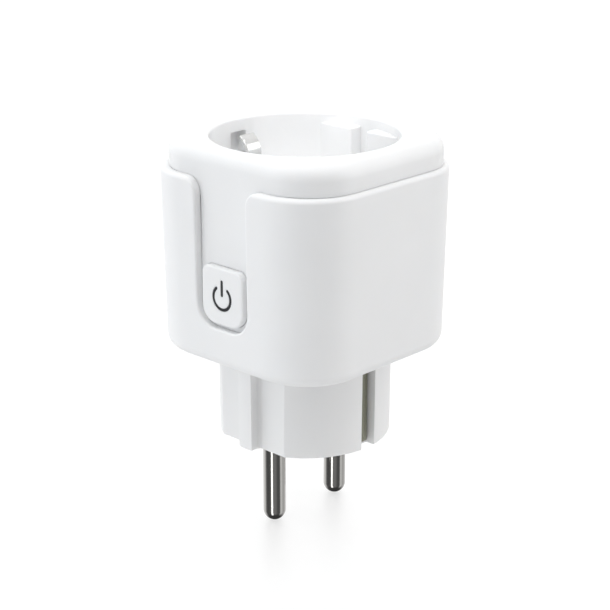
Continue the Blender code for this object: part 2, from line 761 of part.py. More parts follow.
def small_parts(varistor_mat, fuse_mat, chip_mat):
    disc = cylinder("varistor", VARISTOR_AT, VARISTOR_R, VARISTOR_T, axis="X", steps=20, edge=0.8)
    finish(disc, varistor_mat)
    fuse = cylinder("fuse_resistor", FUSE_AT, FUSE_R, FUSE_LENGTH, axis="Y", steps=16, edge=0.6)
    finish(fuse, fuse_mat)
    finish(on_board("bridge_rectifier", RECTIFIER_BOX), chip_mat)
    finish(on_board("metering_chip", METER_CHIP_BOX), chip_mat)
    finish(on_board("supply_chip", SUPPLY_CHIP_BOX), chip_mat)


def radio(board_mat, shield_mat):
    front, back = RADIO_BOARD_Y
    half = RADIO_BOARD_HALF
    low, high = RADIO_BOARD_Z
    finish(block("radio_board", (-half, front, low), (half, back, high)), board_mat)
    near = back + SEAT_GAP
    half = SHIELD_HALF
    low, high = SHIELD_Z
    finish(block("radio_shield", (-half, near, low), (half, near + SHIELD_T, high)), shield_mat)


def pin(name, side, mat):
    """A round contact pin with a domed tip, and a thinner tail that passes through the power board."""
    dome = arc((0, PIN_R - PIN_LENGTH), PIN_R, 0, -90, 6)
    profile = [
        (0.0, PIN_TOP_Z),
        (PIN_TAIL_R - 0.2, PIN_TOP_Z),
        (PIN_TAIL_R, PIN_TOP_Z - 0.2),
        (PIN_TAIL_R, PIN_SHOULDER_Z + 0.9),
        (PIN_R, PIN_SHOULDER_Z),
    ] + dome[:-1] + [(0.0, -PIN_LENGTH)]
    return finish(turned(name, profile, (0, side * PIN_Y, 0), steps=32), mat)


def contact(name, side, mat):
    """A slit sleeve that grips a pin of the plug above."""
    low, high = CONTACT_Z
    profile = [
        (0.0, low + 1.4),
        (CONTACT_BORE_R, low + 1.4),
        (CONTACT_BORE_R, high - 0.8),
        (CONTACT_BORE_R + 0.4, high),
        (CONTACT_R - 0.2, high),
        (CONTACT_R, high - 0.3),
        (CONTACT_R, low),
        (0.0, low),
    ]
    sleeve = turned(name, profile, (0, side * PIN_Y, 0), steps=24)
    y = side * PIN_Y
    half = CONTACT_SLIT_HALF
    cut(sleeve, block("contact_slit", (-5, y - half, low + 4.0), (5, y + half, high + 1)))
    return finish(sleeve, mat)


def strap(name, side, mat):
    """A bent strap from the power board to the underside of a contact sleeve."""
    plate = CONTACT_Z[0] - 0.3 - STRIP_T / 2
    leg, reach = STRAP_X
    path = [(-side * leg, SEAT_Z), (-side * leg, plate), (side * reach, plate)]
    obj = bent_strip(name, path, STRAP_WIDTH, STRIP_T)
    obj.location.y = side * PIN_Y * MM
    return finish(obj, mat)


def earth_strip(name, side, mat):
    """The plug's side contact: a strip on the floor of the slot, with a tail up to the earth bridge."""
    inner, outer = SIDE_CONTACT_X
    low, high = SIDE_CONTACT_Z
    half = SIDE_CONTACT_HALF
    near, far = between(side, inner, outer)
    strip = block(name, (near, -half, low), (far, half, high), corner=0.15, corner_steps=2)
    near, far = between(side, inner + TAIL_INSET, outer - TAIL_INSET)
    top = EARTH_BRIDGE_Z[0] - GAP
    join(strip, block("earth_tail", (near, -TAIL_HALF, high - 2), (far, TAIL_HALF, top)))
    return finish(strip, mat)


def earth_bridge(mat):
    low, high = EARTH_BRIDGE_Z
    reach = CLIP_ROOT_X + 0.9
    bridge = block("earth_bridge", (-reach, -EARTH_BRIDGE_HALF, low), (reach, EARTH_BRIDGE_HALF, high))
    return finish(bridge, mat)


def clip_path(side):
    """The bent spring: up from its root, in to the bulge that meets a plug's earth strip, and out again."""
    bends = CLIP_BENDS
    points = []
    last = len(bends) - 1
    for index in range(last):
        before = Vector(bends[max(index - 1, 0)])
        start = Vector(bends[index])
        end = Vector(bends[index + 1])
        after = Vector(bends[min(index + 2, last)])
        for step in range(CLIP_BEND_STEPS):
            t = step / CLIP_BEND_STEPS
            smooth = (
                start * 2
                + (end - before) * t
                + (before * 2 - start * 5 + end * 4 - after) * t ** 2
                + (start * 3 - before - end * 3 + after) * t ** 3
            ) / 2
            points.append((side * smooth.x, smooth.y))
    points.append((side * bends[-1][0], bends[-1][1]))
    return points


def earth_clip(name, side, mat):
    clip = bent_strip(name, clip_path(side), CLIP_WIDTH, STRIP_T)
    return finish(set_pivot(clip, (side * CLIP_ROOT_X, 0, CLIP_ROOT_Z)), mat)


def screw(name, x, y, mat):
    """A pan-head screw, head down, with a cross recess."""
    head = SCREW_HEAD_Z
    neck = head + SCREW_HEAD_T
    profile = [
        (0.0, SCREW_TIP_Z),
        (0.4, SCREW_TIP_Z),
        (SCREW_R, SCREW_TIP_Z - 1.6),
        (SCREW_R, neck),
        (SCREW_HEAD_R, neck),
        (SCREW_HEAD_R, head + 0.4),
        (SCREW_HEAD_R - 0.5, head),
        (0.0, head),
    ]
    body = turned(name, profile, (x, y, 0), steps=18)
    deep = head + 0.7
    for long_x, long_y in ((1.1, 0.25), (0.25, 1.1)):
        cut(body, block("drive", (x - long_x, y - long_y, head - 1), (x + long_x, y + long_y, deep)))
    return finish(body, mat)


def build_shell():
    shell = material("shell_white", WHITE, 0.28)
    outer_housing(shell)
    top_cover(material("cover_white", WHITE, 0.25))
    plug_base(material("plug_white", WHITE, 0.3))
    button_cap(material("button_white", WHITE, 0.3))
    symbol_light_guide(material("light_guide_grey", (0.05, 0.05, 0.055), 0.35))


def build_electronics():
    tact_switch(
        material("switch_black", (0.03, 0.03, 0.03), 0.4),
        material("plunger_black", (0.05, 0.05, 0.05), 0.4),
    )
    control_board(
        material("board_green", (0.02, 0.16, 0.07), 0.35),
        material("led_lens", (0.8, 0.85, 0.9), 0.2),
        material("header_black", (0.03, 0.03, 0.03), 0.5),
    )
    power_board(material("power_board_green", (0.02, 0.14, 0.06), 0.35))
    relay(material("relay_black", (0.03, 0.03, 0.035), 0.35))
    film = on_board("film_capacitor", FILM_BOX, corner=0.6, corner_steps=2)
    finish(film, material("film_yellow", (0.75, 0.5, 0.06), 0.4))
    can_mat = material("can_black", (0.04, 0.045, 0.06), 0.3)
    can("bulk_capacitor", BULK_CAN, can_mat)
    can("output_capacitor", OUTPUT_CAN, can_mat)
    choke(material("ferrite", (0.09, 0.08, 0.08), 0.6))
    small_parts(
        material("varistor_blue", (0.03, 0.12, 0.42), 0.4),
        material("fuse_green", (0.12, 0.3, 0.2), 0.5),
        material("chip_black", (0.02, 0.02, 0.022), 0.45),
    )
    current_shunt(material("shunt_copper", (0.72, 0.4, 0.25), 0.35, 1.0))
    radio(
        material("radio_board_blue", (0.02, 0.06, 0.2), 0.35),
        material("shield_tin", (0.72, 0.72, 0.7), 0.3, 1.0),
    )


def build_metal_parts():
    plated = material("pin_nickel", NICKEL, 0.22, 1.0)
    brass = material("contact_brass", (0.78, 0.58, 0.28), 0.3, 1.0)
    steel = material("earth_steel", (0.66, 0.66, 0.65), 0.3, 1.0)
    for label, side in (("live", 1), ("neutral", -1)):
        pin(label + "_pin", side, plated)
        contact(label + "_contact", side, brass)
        strap(label + "_strap", side, brass)
    for label, side in (("left", -1), ("right", 1)):
        earth_strip("earth_strip_" + label, side, steel)
        earth_clip("earth_clip_" + label, side, steel)
    earth_bridge(steel)
    screw_steel = material("screw_steel", (0.5, 0.5, 0.5), 0.35, 1.0)
    for number, (x, y) in enumerate(four_corners(SCREW_XY), start=1):
        screw(f"case_screw_{number}", x, y, screw_steel)


build_shell()
build_electronics()
build_metal_parts()
bpy.context.view_layer.update()
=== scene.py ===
"""The plug-in power meter in a white studio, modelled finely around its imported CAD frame.

The frame is in metres: +Z up, the origin at the centre of the plug's face, the button on the -Y
side. Sizes here are in millimetres, and MM turns them into metres.
"""

import math

import bmesh
import bpy
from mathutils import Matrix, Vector


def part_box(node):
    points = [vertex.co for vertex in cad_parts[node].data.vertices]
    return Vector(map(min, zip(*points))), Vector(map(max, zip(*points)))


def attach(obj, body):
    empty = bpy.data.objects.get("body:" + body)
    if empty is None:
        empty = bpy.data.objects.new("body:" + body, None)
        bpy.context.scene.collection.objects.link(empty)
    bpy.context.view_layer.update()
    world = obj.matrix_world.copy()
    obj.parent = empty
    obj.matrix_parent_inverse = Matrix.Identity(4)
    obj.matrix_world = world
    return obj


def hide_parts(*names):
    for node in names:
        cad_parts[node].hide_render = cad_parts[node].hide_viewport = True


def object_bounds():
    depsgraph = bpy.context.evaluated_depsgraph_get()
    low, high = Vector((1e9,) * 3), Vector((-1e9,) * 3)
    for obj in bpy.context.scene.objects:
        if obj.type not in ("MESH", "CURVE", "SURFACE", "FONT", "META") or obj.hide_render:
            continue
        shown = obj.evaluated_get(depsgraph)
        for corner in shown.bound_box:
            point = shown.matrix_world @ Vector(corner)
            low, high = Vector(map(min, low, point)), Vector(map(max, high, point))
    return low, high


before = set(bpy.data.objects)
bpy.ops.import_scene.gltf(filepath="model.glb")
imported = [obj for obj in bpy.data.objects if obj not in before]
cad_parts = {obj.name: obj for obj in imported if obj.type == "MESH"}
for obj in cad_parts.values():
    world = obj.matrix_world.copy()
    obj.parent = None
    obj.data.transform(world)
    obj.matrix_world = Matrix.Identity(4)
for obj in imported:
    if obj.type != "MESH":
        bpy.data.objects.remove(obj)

CAD_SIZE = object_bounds()
MM = 0.001


def box_mm(node):
    """A CAD node's lowest and highest corners, in millimetres."""
    low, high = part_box(node)
    return low / MM, high / MM


# Sizes taken from the frame.
HOUSING_LOW, HOUSING_HIGH = box_mm("outer_housing")
COVER_LOW, COVER_HIGH = box_mm("top_cover")
PLUG_HIGH = box_mm("plug_base")[1]
BUTTON_LOW = box_mm("button_cap")[0]
LIGHT_GUIDE_LOW, LIGHT_GUIDE_HIGH = box_mm("symbol_light_guide")
BODY_Z = HOUSING_LOW.z
RIM_Z = HOUSING_HIGH.z
BODY_HALF_HIGH = HOUSING_HIGH.x
TOP_Z = COVER_HIGH.z
COVER_HALF = COVER_HIGH.x
COVER_FRONT_Y = COVER_LOW.y
BOSS_LOW_Z = COVER_LOW.z
FLANGE_HALF = PLUG_HIGH.x
BUTTON_FACE_Y = BUTTON_LOW.y

# How far a cutter runs past a surface, and how far its flared end stays clear of that surface.
PAST = 1.0
CLEAR = 0.002

# Outer housing.
BODY_HALF_LOW = 24.22
BODY_CORNER_R = 12.9
BODY_FILLET = 2.6
RIM_FILLET = 0.9
RIM_INNER_FILLET = 0.05
WALL = 1.85
BODY_FLOOR_T = 2.2
BODY_FLOOR_R = 1.0
PLUG_HOLE_EDGE = 0.25
SLOT_HALF = 7.1
SLOT_Z = 27.95
SLOT_CORNER_R = 4.7
SLOT_FLARE_R = 3.2
SLOT_FLARE_END_DEG = 94
SLOT_RUN_OUT = (2.0, 0.14)
SLOT_FILLET = 0.5
WALL_CUT_DEPTH = 4.0
TONGUE_GAP = 0.05
GAP = 0.3

# Top cover and its socket.
COVER_Z = 58.35
COVER_CORNER_R = 11.8
COVER_FILLET = 3.3
COVER_LOW_EDGE = 0.05
COVER_PLATE_T = 1.8
SPIGOT_HALF = 22.8
SPIGOT_Z = 54.5
SPIGOT_TOP_Z = COVER_Z + 0.9
SPIGOT_T = 1.6
SPIGOT_CORNER_R = COVER_CORNER_R - 0.8
SPIGOT_EDGE = 0.3
TONGUE_T = 1.61
TONGUE_TOP_Z = COVER_Z + 0.7
BOSS_R = 2.6
BOSS_TOP_Z = TOP_Z - 1.4
PILOT_TOP_Z = 37.0
RECESS_R = 19.6
RECESS_Z = TOP_Z - 17.5
RECESS_LIP = 0.6
RECESS_FLOOR_R = 0.8
CUP_R = 21.4
CUP_Z = RECESS_Z - 1.8
GUIDE_Y = 16.4
GROOVE_HALF = 2.1
GUIDE_REACH_X = 14.0
GUIDE_TOP_Z = TOP_Z - 2.2
SOCKET_HOLE_R = 2.8
SOCKET_HOLE_CHAMFER = 0.6
WINDOW_HALF = 2.3
WINDOW_TOP_Z = 61.6
WIDE_WINDOW_HALF = 5.3
WIDE_WINDOW_Z = 56.8
WINDOW_INSIDE = RECESS_R - 1.6
FOOT_INSIDE = RECESS_R - 0.3
WINDOW_REACH_X = 22.0

# Plug.
PIN_Y = 9.5
PLUG_R = 18.15
PLUG_TOP_R = 18.3
PLUG_DEPTH = 17.6
PLUG_EDGE = 0.5
FLAT_Y = 15.8
FLAT_REACH_X = 13.0
RIB_HALF = 1.8
EARTH_SLOT_X = 15.8
EARTH_SLOT_HALF = 2.0
EARTH_SLOT_EDGE = 0.25
RELIEF_X = 14.8
RELIEF_Y = (1.62, 1.99)
RELIEF_Z = 0.6
CAVITY_R = 14.0
CAVITY_Z = (2.5, 26.5)
PIN_BOSS_R = 3.8
PIN_BOSS_Z = (1.5, 15.5)
PIN_HOLE_R = 2.52
PIN_HOLE_EDGE = 0.25
PIN_HOLE_TOP_Z = 19.0
POST_XY = (18.6, 8.0)
POST_R = 1.4
POST_Z = 25.8
POST_CHAMFER = 0.2
TAIL_HOLE_X = (15.6, 16.8)
TAIL_HOLE_HALF = 2.0
TAIL_HOLE_TOP_Z = 26.0
FLANGE_Z = 22.0
PLUG_TOP_Z = FLANGE_Z + 0.6
FLANGE_T = 1.6
FLANGE_CORNER_R = 10.2
FLANGE_EDGE = 0.2
SCREW_XY = 16.4
SCREW_HOLE_R = 1.5
HEAD_HOLE_R = 2.5
HEAD_HOLE_EDGE = 0.25
HEAD_HOLE_DEPTH = 1.3

# Button and symbol.
BUTTON_HALF = 5.75
BUTTON_LOW_Z = 29.0
BUTTON_HIGH_Z = 41.0
BUTTON_LOW_R = 3.5
BUTTON_HIGH_R = 1.8
BUTTON_BACK_Y = -20.5
BUTTON_EDGE = 0.45
BUTTON_GAP = 0.06
BUTTON_WALL = 1.0
OPENING_EDGE = 0.15
STOP_FLANGE = 0.6
SYMBOL_Z = 34.8
SYMBOL_R = 2.42
SYMBOL_HALF = 0.3
SYMBOL_OPEN_DEG = 40.0
SYMBOL_BAR = (35.1, 38.6)
SYMBOL_GAP = 0.05
SYMBOL_EDGE = 0.04
PLATE_INSET = 1.15
PLATE_T = 0.7
PLATE_HALF = (4.2, 4.4)
ROD_R = 1.5

# Contacts and springs.
PIN_TAIL_R = 1.5
PIN_NECK_Z = (14.0, 14.9)
SLEEVE_BORE_R = 2.5
SLIT_HALF = 0.35
SLIT_Z = 4
CLIP_HALF_T = 0.3
CLIP_EDGE = 0.14
CLIP_PATH = (
    (20.3, 44.1),
    (20.3, 47.5),
    (19.9, 50.5),
    (17.6, 53.6),
    (15.3, 56.0),
    (14.75, 57.8),
    (15.4, 59.6),
    (17.0, 61.3),
)
STRIP_X = 15.95
STRIP_T = 0.5
STRIP_HALF = 1.55
STRIP_Z = (0.9, 17.2)
STRIP_EDGE = 0.12
STRIP_TAIL_HALF = 1.4
STRIP_TAIL_INSET = 0.02

# Screws.
HEAD_T = 1.1
HEAD_R = 2.2
SHANK_R = 1.25
POINT = (0.4, 1.6)
DRIVE_HALF = (1.1, 0.25)
DRIVE_DEPTH = 0.7


# ---------------------------------------------------------------- shapes


def link(name, bm):
    """Makes an object in metres of a bmesh in millimetres."""
    bmesh.ops.recalc_face_normals(bm, faces=bm.faces)
    bmesh.ops.scale(bm, vec=(MM, MM, MM), verts=bm.verts)
    mesh = bpy.data.meshes.new(name)
    bm.to_mesh(mesh)
    bm.free()
    piece = bpy.data.objects.new(name, mesh)
    bpy.context.scene.collection.objects.link(piece)
    return piece


def loft(name, rings):
    """A closed body through rings of equally many points, with a flat face over each end."""
    bm = bmesh.new()
    rows = [[bm.verts.new(point) for point in ring] for ring in rings]
    count = len(rows[0])
    for low, high in zip(rows, rows[1:]):
        for index in range(count):
            after = (index + 1) % count
            bm.faces.new((low[index], low[after], high[after], high[index]))
    bm.faces.new(rows[0][::-1])
    bm.faces.new(rows[-1])
    return link(name, bm)


def arc(centre, radius, start_deg, end_deg, steps):
    """Points on an arc, both ends included."""
    points = []
    for step in range(steps + 1):
        angle = math.radians(start_deg + (end_deg - start_deg) * step / steps)
        across = centre[0] + radius * math.cos(angle)
        points.append((across, centre[1] + radius * math.sin(angle)))
    return points


def fillet(radius, steps):
    """Pairs (inset, rise) along a rounded edge, from full inset at no rise to no inset."""
    turns = [math.radians(90 * step / steps) for step in range(steps + 1)]
    return [(radius * (1 - math.sin(turn)), radius * (1 - math.cos(turn))) for turn in turns]


def rounded_rect(low, high, corner, steps, grow=0.0):
    """A rectangle from low to high with round corners, grown all round by grow."""
    x0, y0 = low[0] - grow, low[1] - grow
    x1, y1 = high[0] + grow, high[1] + grow
    r = corner + grow
    return (
        arc((x1 - r, y1 - r), r, 0, 90, steps)
        + arc((x0 + r, y1 - r), r, 90, 180, steps)
        + arc((x0 + r, y0 + r), r, 180, 270, steps)
        + arc((x1 - r, y0 + r), r, 270, 360, steps)
    )


def at_z(outline, z):
    return [(x, y, z) for x, y in outline]


def at_y(outline, y):
    return [(x, y, z) for x, z in outline]


def block(name, low, high, corner=0.05, top=0.0, bottom=0.0, flare=0.0, steps=5):
    """A box with round upright edges, round top or bottom edges, or a bottom that flares out."""

    def ring(z, grow):
        return at_z(rounded_rect(low[:2], high[:2], corner, steps, grow), z)

    rings = []
    if flare:
        rings += [ring(low[2] - PAST, flare)]
        rings += [ring(low[2] + rise, inset) for inset, rise in fillet(flare, 5)]
    elif bottom:
        rings += [ring(low[2] + rise, -inset) for inset, rise in fillet(bottom, 5)]
    else:
        rings.append(ring(low[2], 0.0))
    if top:
        rings += [ring(high[2] - rise, -inset) for inset, rise in reversed(fillet(top, 5))]
    else:
        rings.append(ring(high[2], 0.0))
    return loft(name, rings)


def turned(name, profile, centre=(0, 0), steps=48):
    """A round body from a profile of (radius, z)."""
    rings = []
    for radius, z in profile:
        outline = arc(centre, radius, 0, 360 * (steps - 1) / steps, steps - 1)
        rings.append(at_z(outline, z))
    return loft(name, rings)


def bake(piece):
    """Applies a piece's modifiers to its mesh."""
    bpy.context.view_layer.update()
    graph = bpy.context.evaluated_depsgraph_get()
    mesh = bpy.data.meshes.new_from_object(piece.evaluated_get(graph))
    piece.modifiers.clear()
    piece.data = mesh


def boolean(piece, tool, operation):
    mod = piece.modifiers.new(operation, "BOOLEAN")
    mod.operation = operation
    mod.solver = "EXACT"
    mod.object = tool
    bake(piece)
    bpy.data.objects.remove(tool, do_unlink=True)
    return piece


def cut(piece, *tools):
    for tool in tools:
        boolean(piece, tool, "DIFFERENCE")
    return piece


def join(piece, *tools):
    for tool in tools:
        boolean(piece, tool, "UNION")
    return piece


def four_corners(distance):
    return [(sx * distance, sy * distance) for sx in (-1, 1) for sy in (-1, 1)]


def between(side, near, far):
    """The lower and higher of two distances on one side."""
    return sorted((side * near, side * far))


# ---------------------------------------------------------------- pieces


def half_at(z):
    """The housing's half width at a height: its sides lean out a little towards the rim."""
    share = (z - BODY_Z) / (RIM_Z - BODY_Z)
    return BODY_HALF_LOW + (BODY_HALF_HIGH - BODY_HALF_LOW) * share


def slot_tool():
    """The cutter for the slot in the housing's front. It flares at the face to round the edge."""

    def outline(grow):
        low_centre = (SLOT_HALF - SLOT_CORNER_R, SLOT_Z + SLOT_CORNER_R)
        flare_centre = (SLOT_HALF + SLOT_FLARE_R, RIM_Z - SLOT_FLARE_R)
        right = arc(low_centre, SLOT_CORNER_R + grow, -90, 0, 12)
        right += arc(flare_centre, SLOT_FLARE_R - grow, 180, SLOT_FLARE_END_DEG, 12)
        end_x = right[-1][0] + SLOT_RUN_OUT[0]
        right.append((end_x, right[-1][1] + SLOT_RUN_OUT[1]))
        right.append((end_x, RIM_Z + 2 * PAST))
        return right + [(-x, z) for x, z in reversed(right)]

    rows = [(SLOT_FILLET, -2 * PAST)]
    rows += [(inset, rise - CLEAR) for inset, rise in fillet(SLOT_FILLET, 6)]
    rows += [(0.0, WALL_CUT_DEPTH)]
    rings = []
    for grow, depth in rows:
        rings.append([(x, depth - half_at(z), z) for x, z in outline(grow)])
    return loft("slot_tool", rings)


def housing_shell():
    def ring(z, inset):
        half = half_at(z) - inset
        return at_z(rounded_rect((-half, -half), (half, half), BODY_CORNER_R - inset, 20), z)

    rings = [ring(BODY_Z + rise, inset) for inset, rise in fillet(BODY_FILLET, 12)]
    rings += [ring(RIM_Z - rise, inset) for inset, rise in reversed(fillet(RIM_FILLET, 6))]
    rings += [ring(RIM_Z - rise, WALL - inset) for inset, rise in fillet(RIM_INNER_FILLET, 2)]
    floor = BODY_Z + BODY_FLOOR_T
    rings += [ring(floor + rise, WALL + inset) for inset, rise in reversed(fillet(BODY_FLOOR_R, 4))]
    shell = loft("housing_shell", rings)
    hole = PLUG_TOP_R + GAP
    profile = [(hole + PLUG_HOLE_EDGE, BODY_Z - PAST)]
    profile += [(hole + inset, BODY_Z + rise - CLEAR) for inset, rise in fillet(PLUG_HOLE_EDGE, 4)]
    profile += [(hole, floor + PAST)]
    cut(shell, slot_tool(), turned("plug_hole", profile, steps=128))
    head_profile = [
        (HEAD_HOLE_R + HEAD_HOLE_EDGE, BODY_Z - PAST),
        (HEAD_HOLE_R + HEAD_HOLE_EDGE, BODY_Z),
        (HEAD_HOLE_R, BODY_Z + HEAD_HOLE_EDGE),
        (HEAD_HOLE_R, BODY_Z + HEAD_HOLE_DEPTH),
    ]
    shank_profile = [(SCREW_HOLE_R, BODY_Z), (SCREW_HOLE_R, BODY_Z + WALL_CUT_DEPTH)]
    for centre in four_corners(SCREW_XY):
        head_hole = turned("head_hole", head_profile, centre, 36)
        cut(shell, head_hole, turned("shank_hole", shank_profile, centre, 28))
    return shell


def recess_tool():
    """The hollow of the socket: a round well with a round lip, less the guides front and back."""
    mouth = RECESS_R + RECESS_LIP
    profile = [(mouth, TOP_Z + PAST)]
    profile += arc((mouth, TOP_Z - RECESS_LIP), RECESS_LIP, 90, 180, 8)
    floor_centre = (RECESS_R - RECESS_FLOOR_R, RECESS_Z + RECESS_FLOOR_R)
    profile += arc(floor_centre, RECESS_FLOOR_R, 0, -90, 5)
    well = turned("recess", profile, steps=160)
    for side in (-1, 1):
        near, far = between(side, GUIDE_Y, RECESS_R + 3 * PAST)
        for left, right in ((-GUIDE_REACH_X, -GROOVE_HALF), (GROOVE_HALF, GUIDE_REACH_X)):
            low = (left, near, RECESS_Z - PAST)
            cut(well, block("guide", low, (right, far, GUIDE_TOP_Z), corner=0.5, top=0.35))
    return well


def window_tools(side):
    """The openings beside the recess that let an earth clip reach into it."""
    tools = []
    # The first two start a hair above the recess floor, so that no two faces share a plane.
    for half, low_z, high_z, inside in (
        (WINDOW_HALF, RECESS_Z + 0.01, WINDOW_TOP_Z, WINDOW_INSIDE),
        (WIDE_WINDOW_HALF, RECESS_Z + 0.02, WIDE_WINDOW_Z, WINDOW_INSIDE),
        (WINDOW_HALF, CUP_Z - PAST, RECESS_Z + PAST, FOOT_INSIDE),
    ):
        near, far = between(side, inside, WINDOW_REACH_X)
        low, high = (near, -half, low_z), (far, half, high_z)
        tools.append(block("window", low, high, corner=0.22, steps=3, top=0.2))
    return tools


def button_outline(grow):
    low = BUTTON_LOW_Z - grow
    high = BUTTON_HIGH_Z + grow
    half = BUTTON_HALF + grow
    low_r = BUTTON_LOW_R + grow
    high_r = BUTTON_HIGH_R + grow
    return (
        arc((half - low_r, low + low_r), low_r, -90, 0, 12)
        + arc((half - high_r, high - high_r), high_r, 0, 90, 12)
        + arc((high_r - half, high - high_r), high_r, 90, 180, 12)
        + arc((low_r - half, low + low_r), low_r, 180, 270, 12)
    )


def tongue():
    """The strip of the cover that runs down the slot and frames the button."""
    half = SLOT_HALF - TONGUE_GAP
    low_r = SLOT_CORNER_R - TONGUE_GAP
    low = SLOT_Z + TONGUE_GAP

    def outline(grow):
        return (
            arc((half - low_r, low + low_r), low_r + grow, -90, 0, 12)
            + [(half + grow, TONGUE_TOP_Z), (-half - grow, TONGUE_TOP_Z)]
            + arc((low_r - half, low + low_r), low_r + grow, 180, 270, 12)
        )

    rows = [(-inset, rise) for inset, rise in fillet(COVER_LOW_EDGE, 2)] + [(0.0, TONGUE_T)]
    plate = loft("tongue", [at_y(outline(grow), COVER_FRONT_Y + depth) for grow, depth in rows])
    rows = [(BUTTON_GAP + OPENING_EDGE, -PAST)]
    rows += [(BUTTON_GAP + inset, rise - CLEAR) for inset, rise in fillet(OPENING_EDGE, 3)]
    rows += [(BUTTON_GAP, TONGUE_T + PAST)]
    rings = [at_y(button_outline(grow), COVER_FRONT_Y + depth) for grow, depth in rows]
    return cut(plate, loft("button_opening", rings))


def cover_shell():
    def ring(z, inset):
        low = (inset - COVER_HALF, COVER_FRONT_Y + inset)
        high = (COVER_HALF - inset, COVER_HALF - inset)
        return at_z(rounded_rect(low, high, COVER_CORNER_R - inset, 20), z)

    rings = [ring(COVER_Z + rise, inset) for inset, rise in fillet(COVER_LOW_EDGE, 2)]
    rings += [ring(TOP_Z - rise, inset) for inset, rise in reversed(fillet(COVER_FILLET, 16))]
    shell = loft("cover_shell", rings)
    half = SPIGOT_HALF
    low, high = (-half, -half, SPIGOT_Z), (half, half, SPIGOT_TOP_Z)
    spigot = block("spigot", low, high, corner=SPIGOT_CORNER_R, bottom=SPIGOT_EDGE, steps=12)
    half = SPIGOT_HALF - SPIGOT_T
    low, high = (-half, -half, SPIGOT_Z - PAST), (half, half, TOP_Z - COVER_PLATE_T)
    hollow = block("cover_hollow", low, high, corner=SPIGOT_CORNER_R - SPIGOT_T, steps=12)
    cup = turned("cup", [(CUP_R, CUP_Z), (CUP_R, TOP_Z - PAST)], steps=96)
    join(shell, spigot)
    cut(shell, hollow)
    join(shell, tongue(), cup)
    for centre in four_corners(SCREW_XY):
        join(shell, turned("boss", [(BOSS_R, BOSS_LOW_Z), (BOSS_R, BOSS_TOP_Z)], centre, 28))
    cut(shell, recess_tool())
    rim = SOCKET_HOLE_R + SOCKET_HOLE_CHAMFER
    entry = [
        (rim, RECESS_Z + PAST),
        (rim, RECESS_Z),
        (SOCKET_HOLE_R, RECESS_Z - SOCKET_HOLE_CHAMFER),
        (SOCKET_HOLE_R, CUP_Z - PAST),
    ]
    for side in (-1, 1):
        cut(shell, turned("pin_entry", entry, (0, side * PIN_Y)))
        cut(shell, *window_tools(side))
    pilot = [(SCREW_HOLE_R, BOSS_LOW_Z - PAST), (SCREW_HOLE_R, PILOT_TOP_Z)]
    for centre in four_corners(SCREW_XY):
        cut(shell, turned("pilot", pilot, centre, 20))
    return shell


def flats_and_slots(body):
    """Cuts the plug's flats beside its ribs, and the earth slots with a relief by each strip."""
    for side in (-1, 1):
        near, far = between(side, FLAT_Y, PLUG_R + 3 * PAST)
        for left, right in ((-FLAT_REACH_X, -RIB_HALF), (RIB_HALF, FLAT_REACH_X)):
            low, high = (left, near, -CLEAR), (right, far, PLUG_DEPTH)
            cut(body, block("flat", low, high, corner=0.8, top=0.5, flare=PLUG_EDGE, steps=6))
        near, far = between(side, EARTH_SLOT_X, PLUG_R + 3 * PAST)
        low, high = (near, -EARTH_SLOT_HALF, -CLEAR), (far, EARTH_SLOT_HALF, PLUG_DEPTH)
        edge = EARTH_SLOT_EDGE
        cut(body, block("slot", low, high, corner=edge, top=0.2, flare=edge, steps=3))
        near, far = between(side, RELIEF_X, PLUG_R)
        for flank in (-1, 1):
            left, right = between(flank, *RELIEF_Y)
            low, high = (near, left, RELIEF_Z), (far, right, PLUG_DEPTH - 0.1)
            cut(body, block("relief", low, high, corner=0.05, steps=1))


def plug_body():
    edge = [(PLUG_R - inset, rise) for inset, rise in fillet(PLUG_EDGE, 6)]
    body = turned("plug_body", edge + [(PLUG_TOP_R, PLUG_TOP_Z)], steps=160)
    flats_and_slots(body)
    half = FLANGE_HALF
    low, high = (-half, -half, FLANGE_Z), (half, half, FLANGE_Z + FLANGE_T)
    edge = FLANGE_EDGE
    join(body, block("flange", low, high, corner=FLANGE_CORNER_R, top=edge, bottom=edge, steps=12))
    cut(body, turned("cavity", [(CAVITY_R, z) for z in CAVITY_Z], steps=96))
    post = [
        (POST_R, FLANGE_Z + PAST),
        (POST_R, POST_Z - POST_CHAMFER),
        (POST_R - POST_CHAMFER, POST_Z),
    ]
    for side in (-1, 1):
        join(body, turned("pin_boss", [(PIN_BOSS_R, z) for z in PIN_BOSS_Z], (0, side * PIN_Y), 40))
        for y in (-POST_XY[1], POST_XY[1]):
            join(body, turned("board_post", post, (side * POST_XY[0], y), 24))
    pin_hole = [
        (PIN_HOLE_R + PIN_HOLE_EDGE, -PAST),
        (PIN_HOLE_R + PIN_HOLE_EDGE, -CLEAR),
        (PIN_HOLE_R, PIN_HOLE_EDGE - CLEAR),
        (PIN_HOLE_R, PIN_HOLE_TOP_Z),
    ]
    for side in (-1, 1):
        cut(body, turned("pin_hole", pin_hole, (0, side * PIN_Y)))
        near, far = between(side, *TAIL_HOLE_X)
        low = (near, -TAIL_HOLE_HALF, PLUG_DEPTH - PAST)
        high = (far, TAIL_HOLE_HALF, TAIL_HOLE_TOP_Z)
        cut(body, block("tail_hole", low, high))
    flange_hole = [(SCREW_HOLE_R, FLANGE_Z - PAST), (SCREW_HOLE_R, FLANGE_Z + 3 * PAST)]
    for centre in four_corners(SCREW_XY):
        cut(body, turned("flange_hole", flange_hole, centre, 24))
    return body


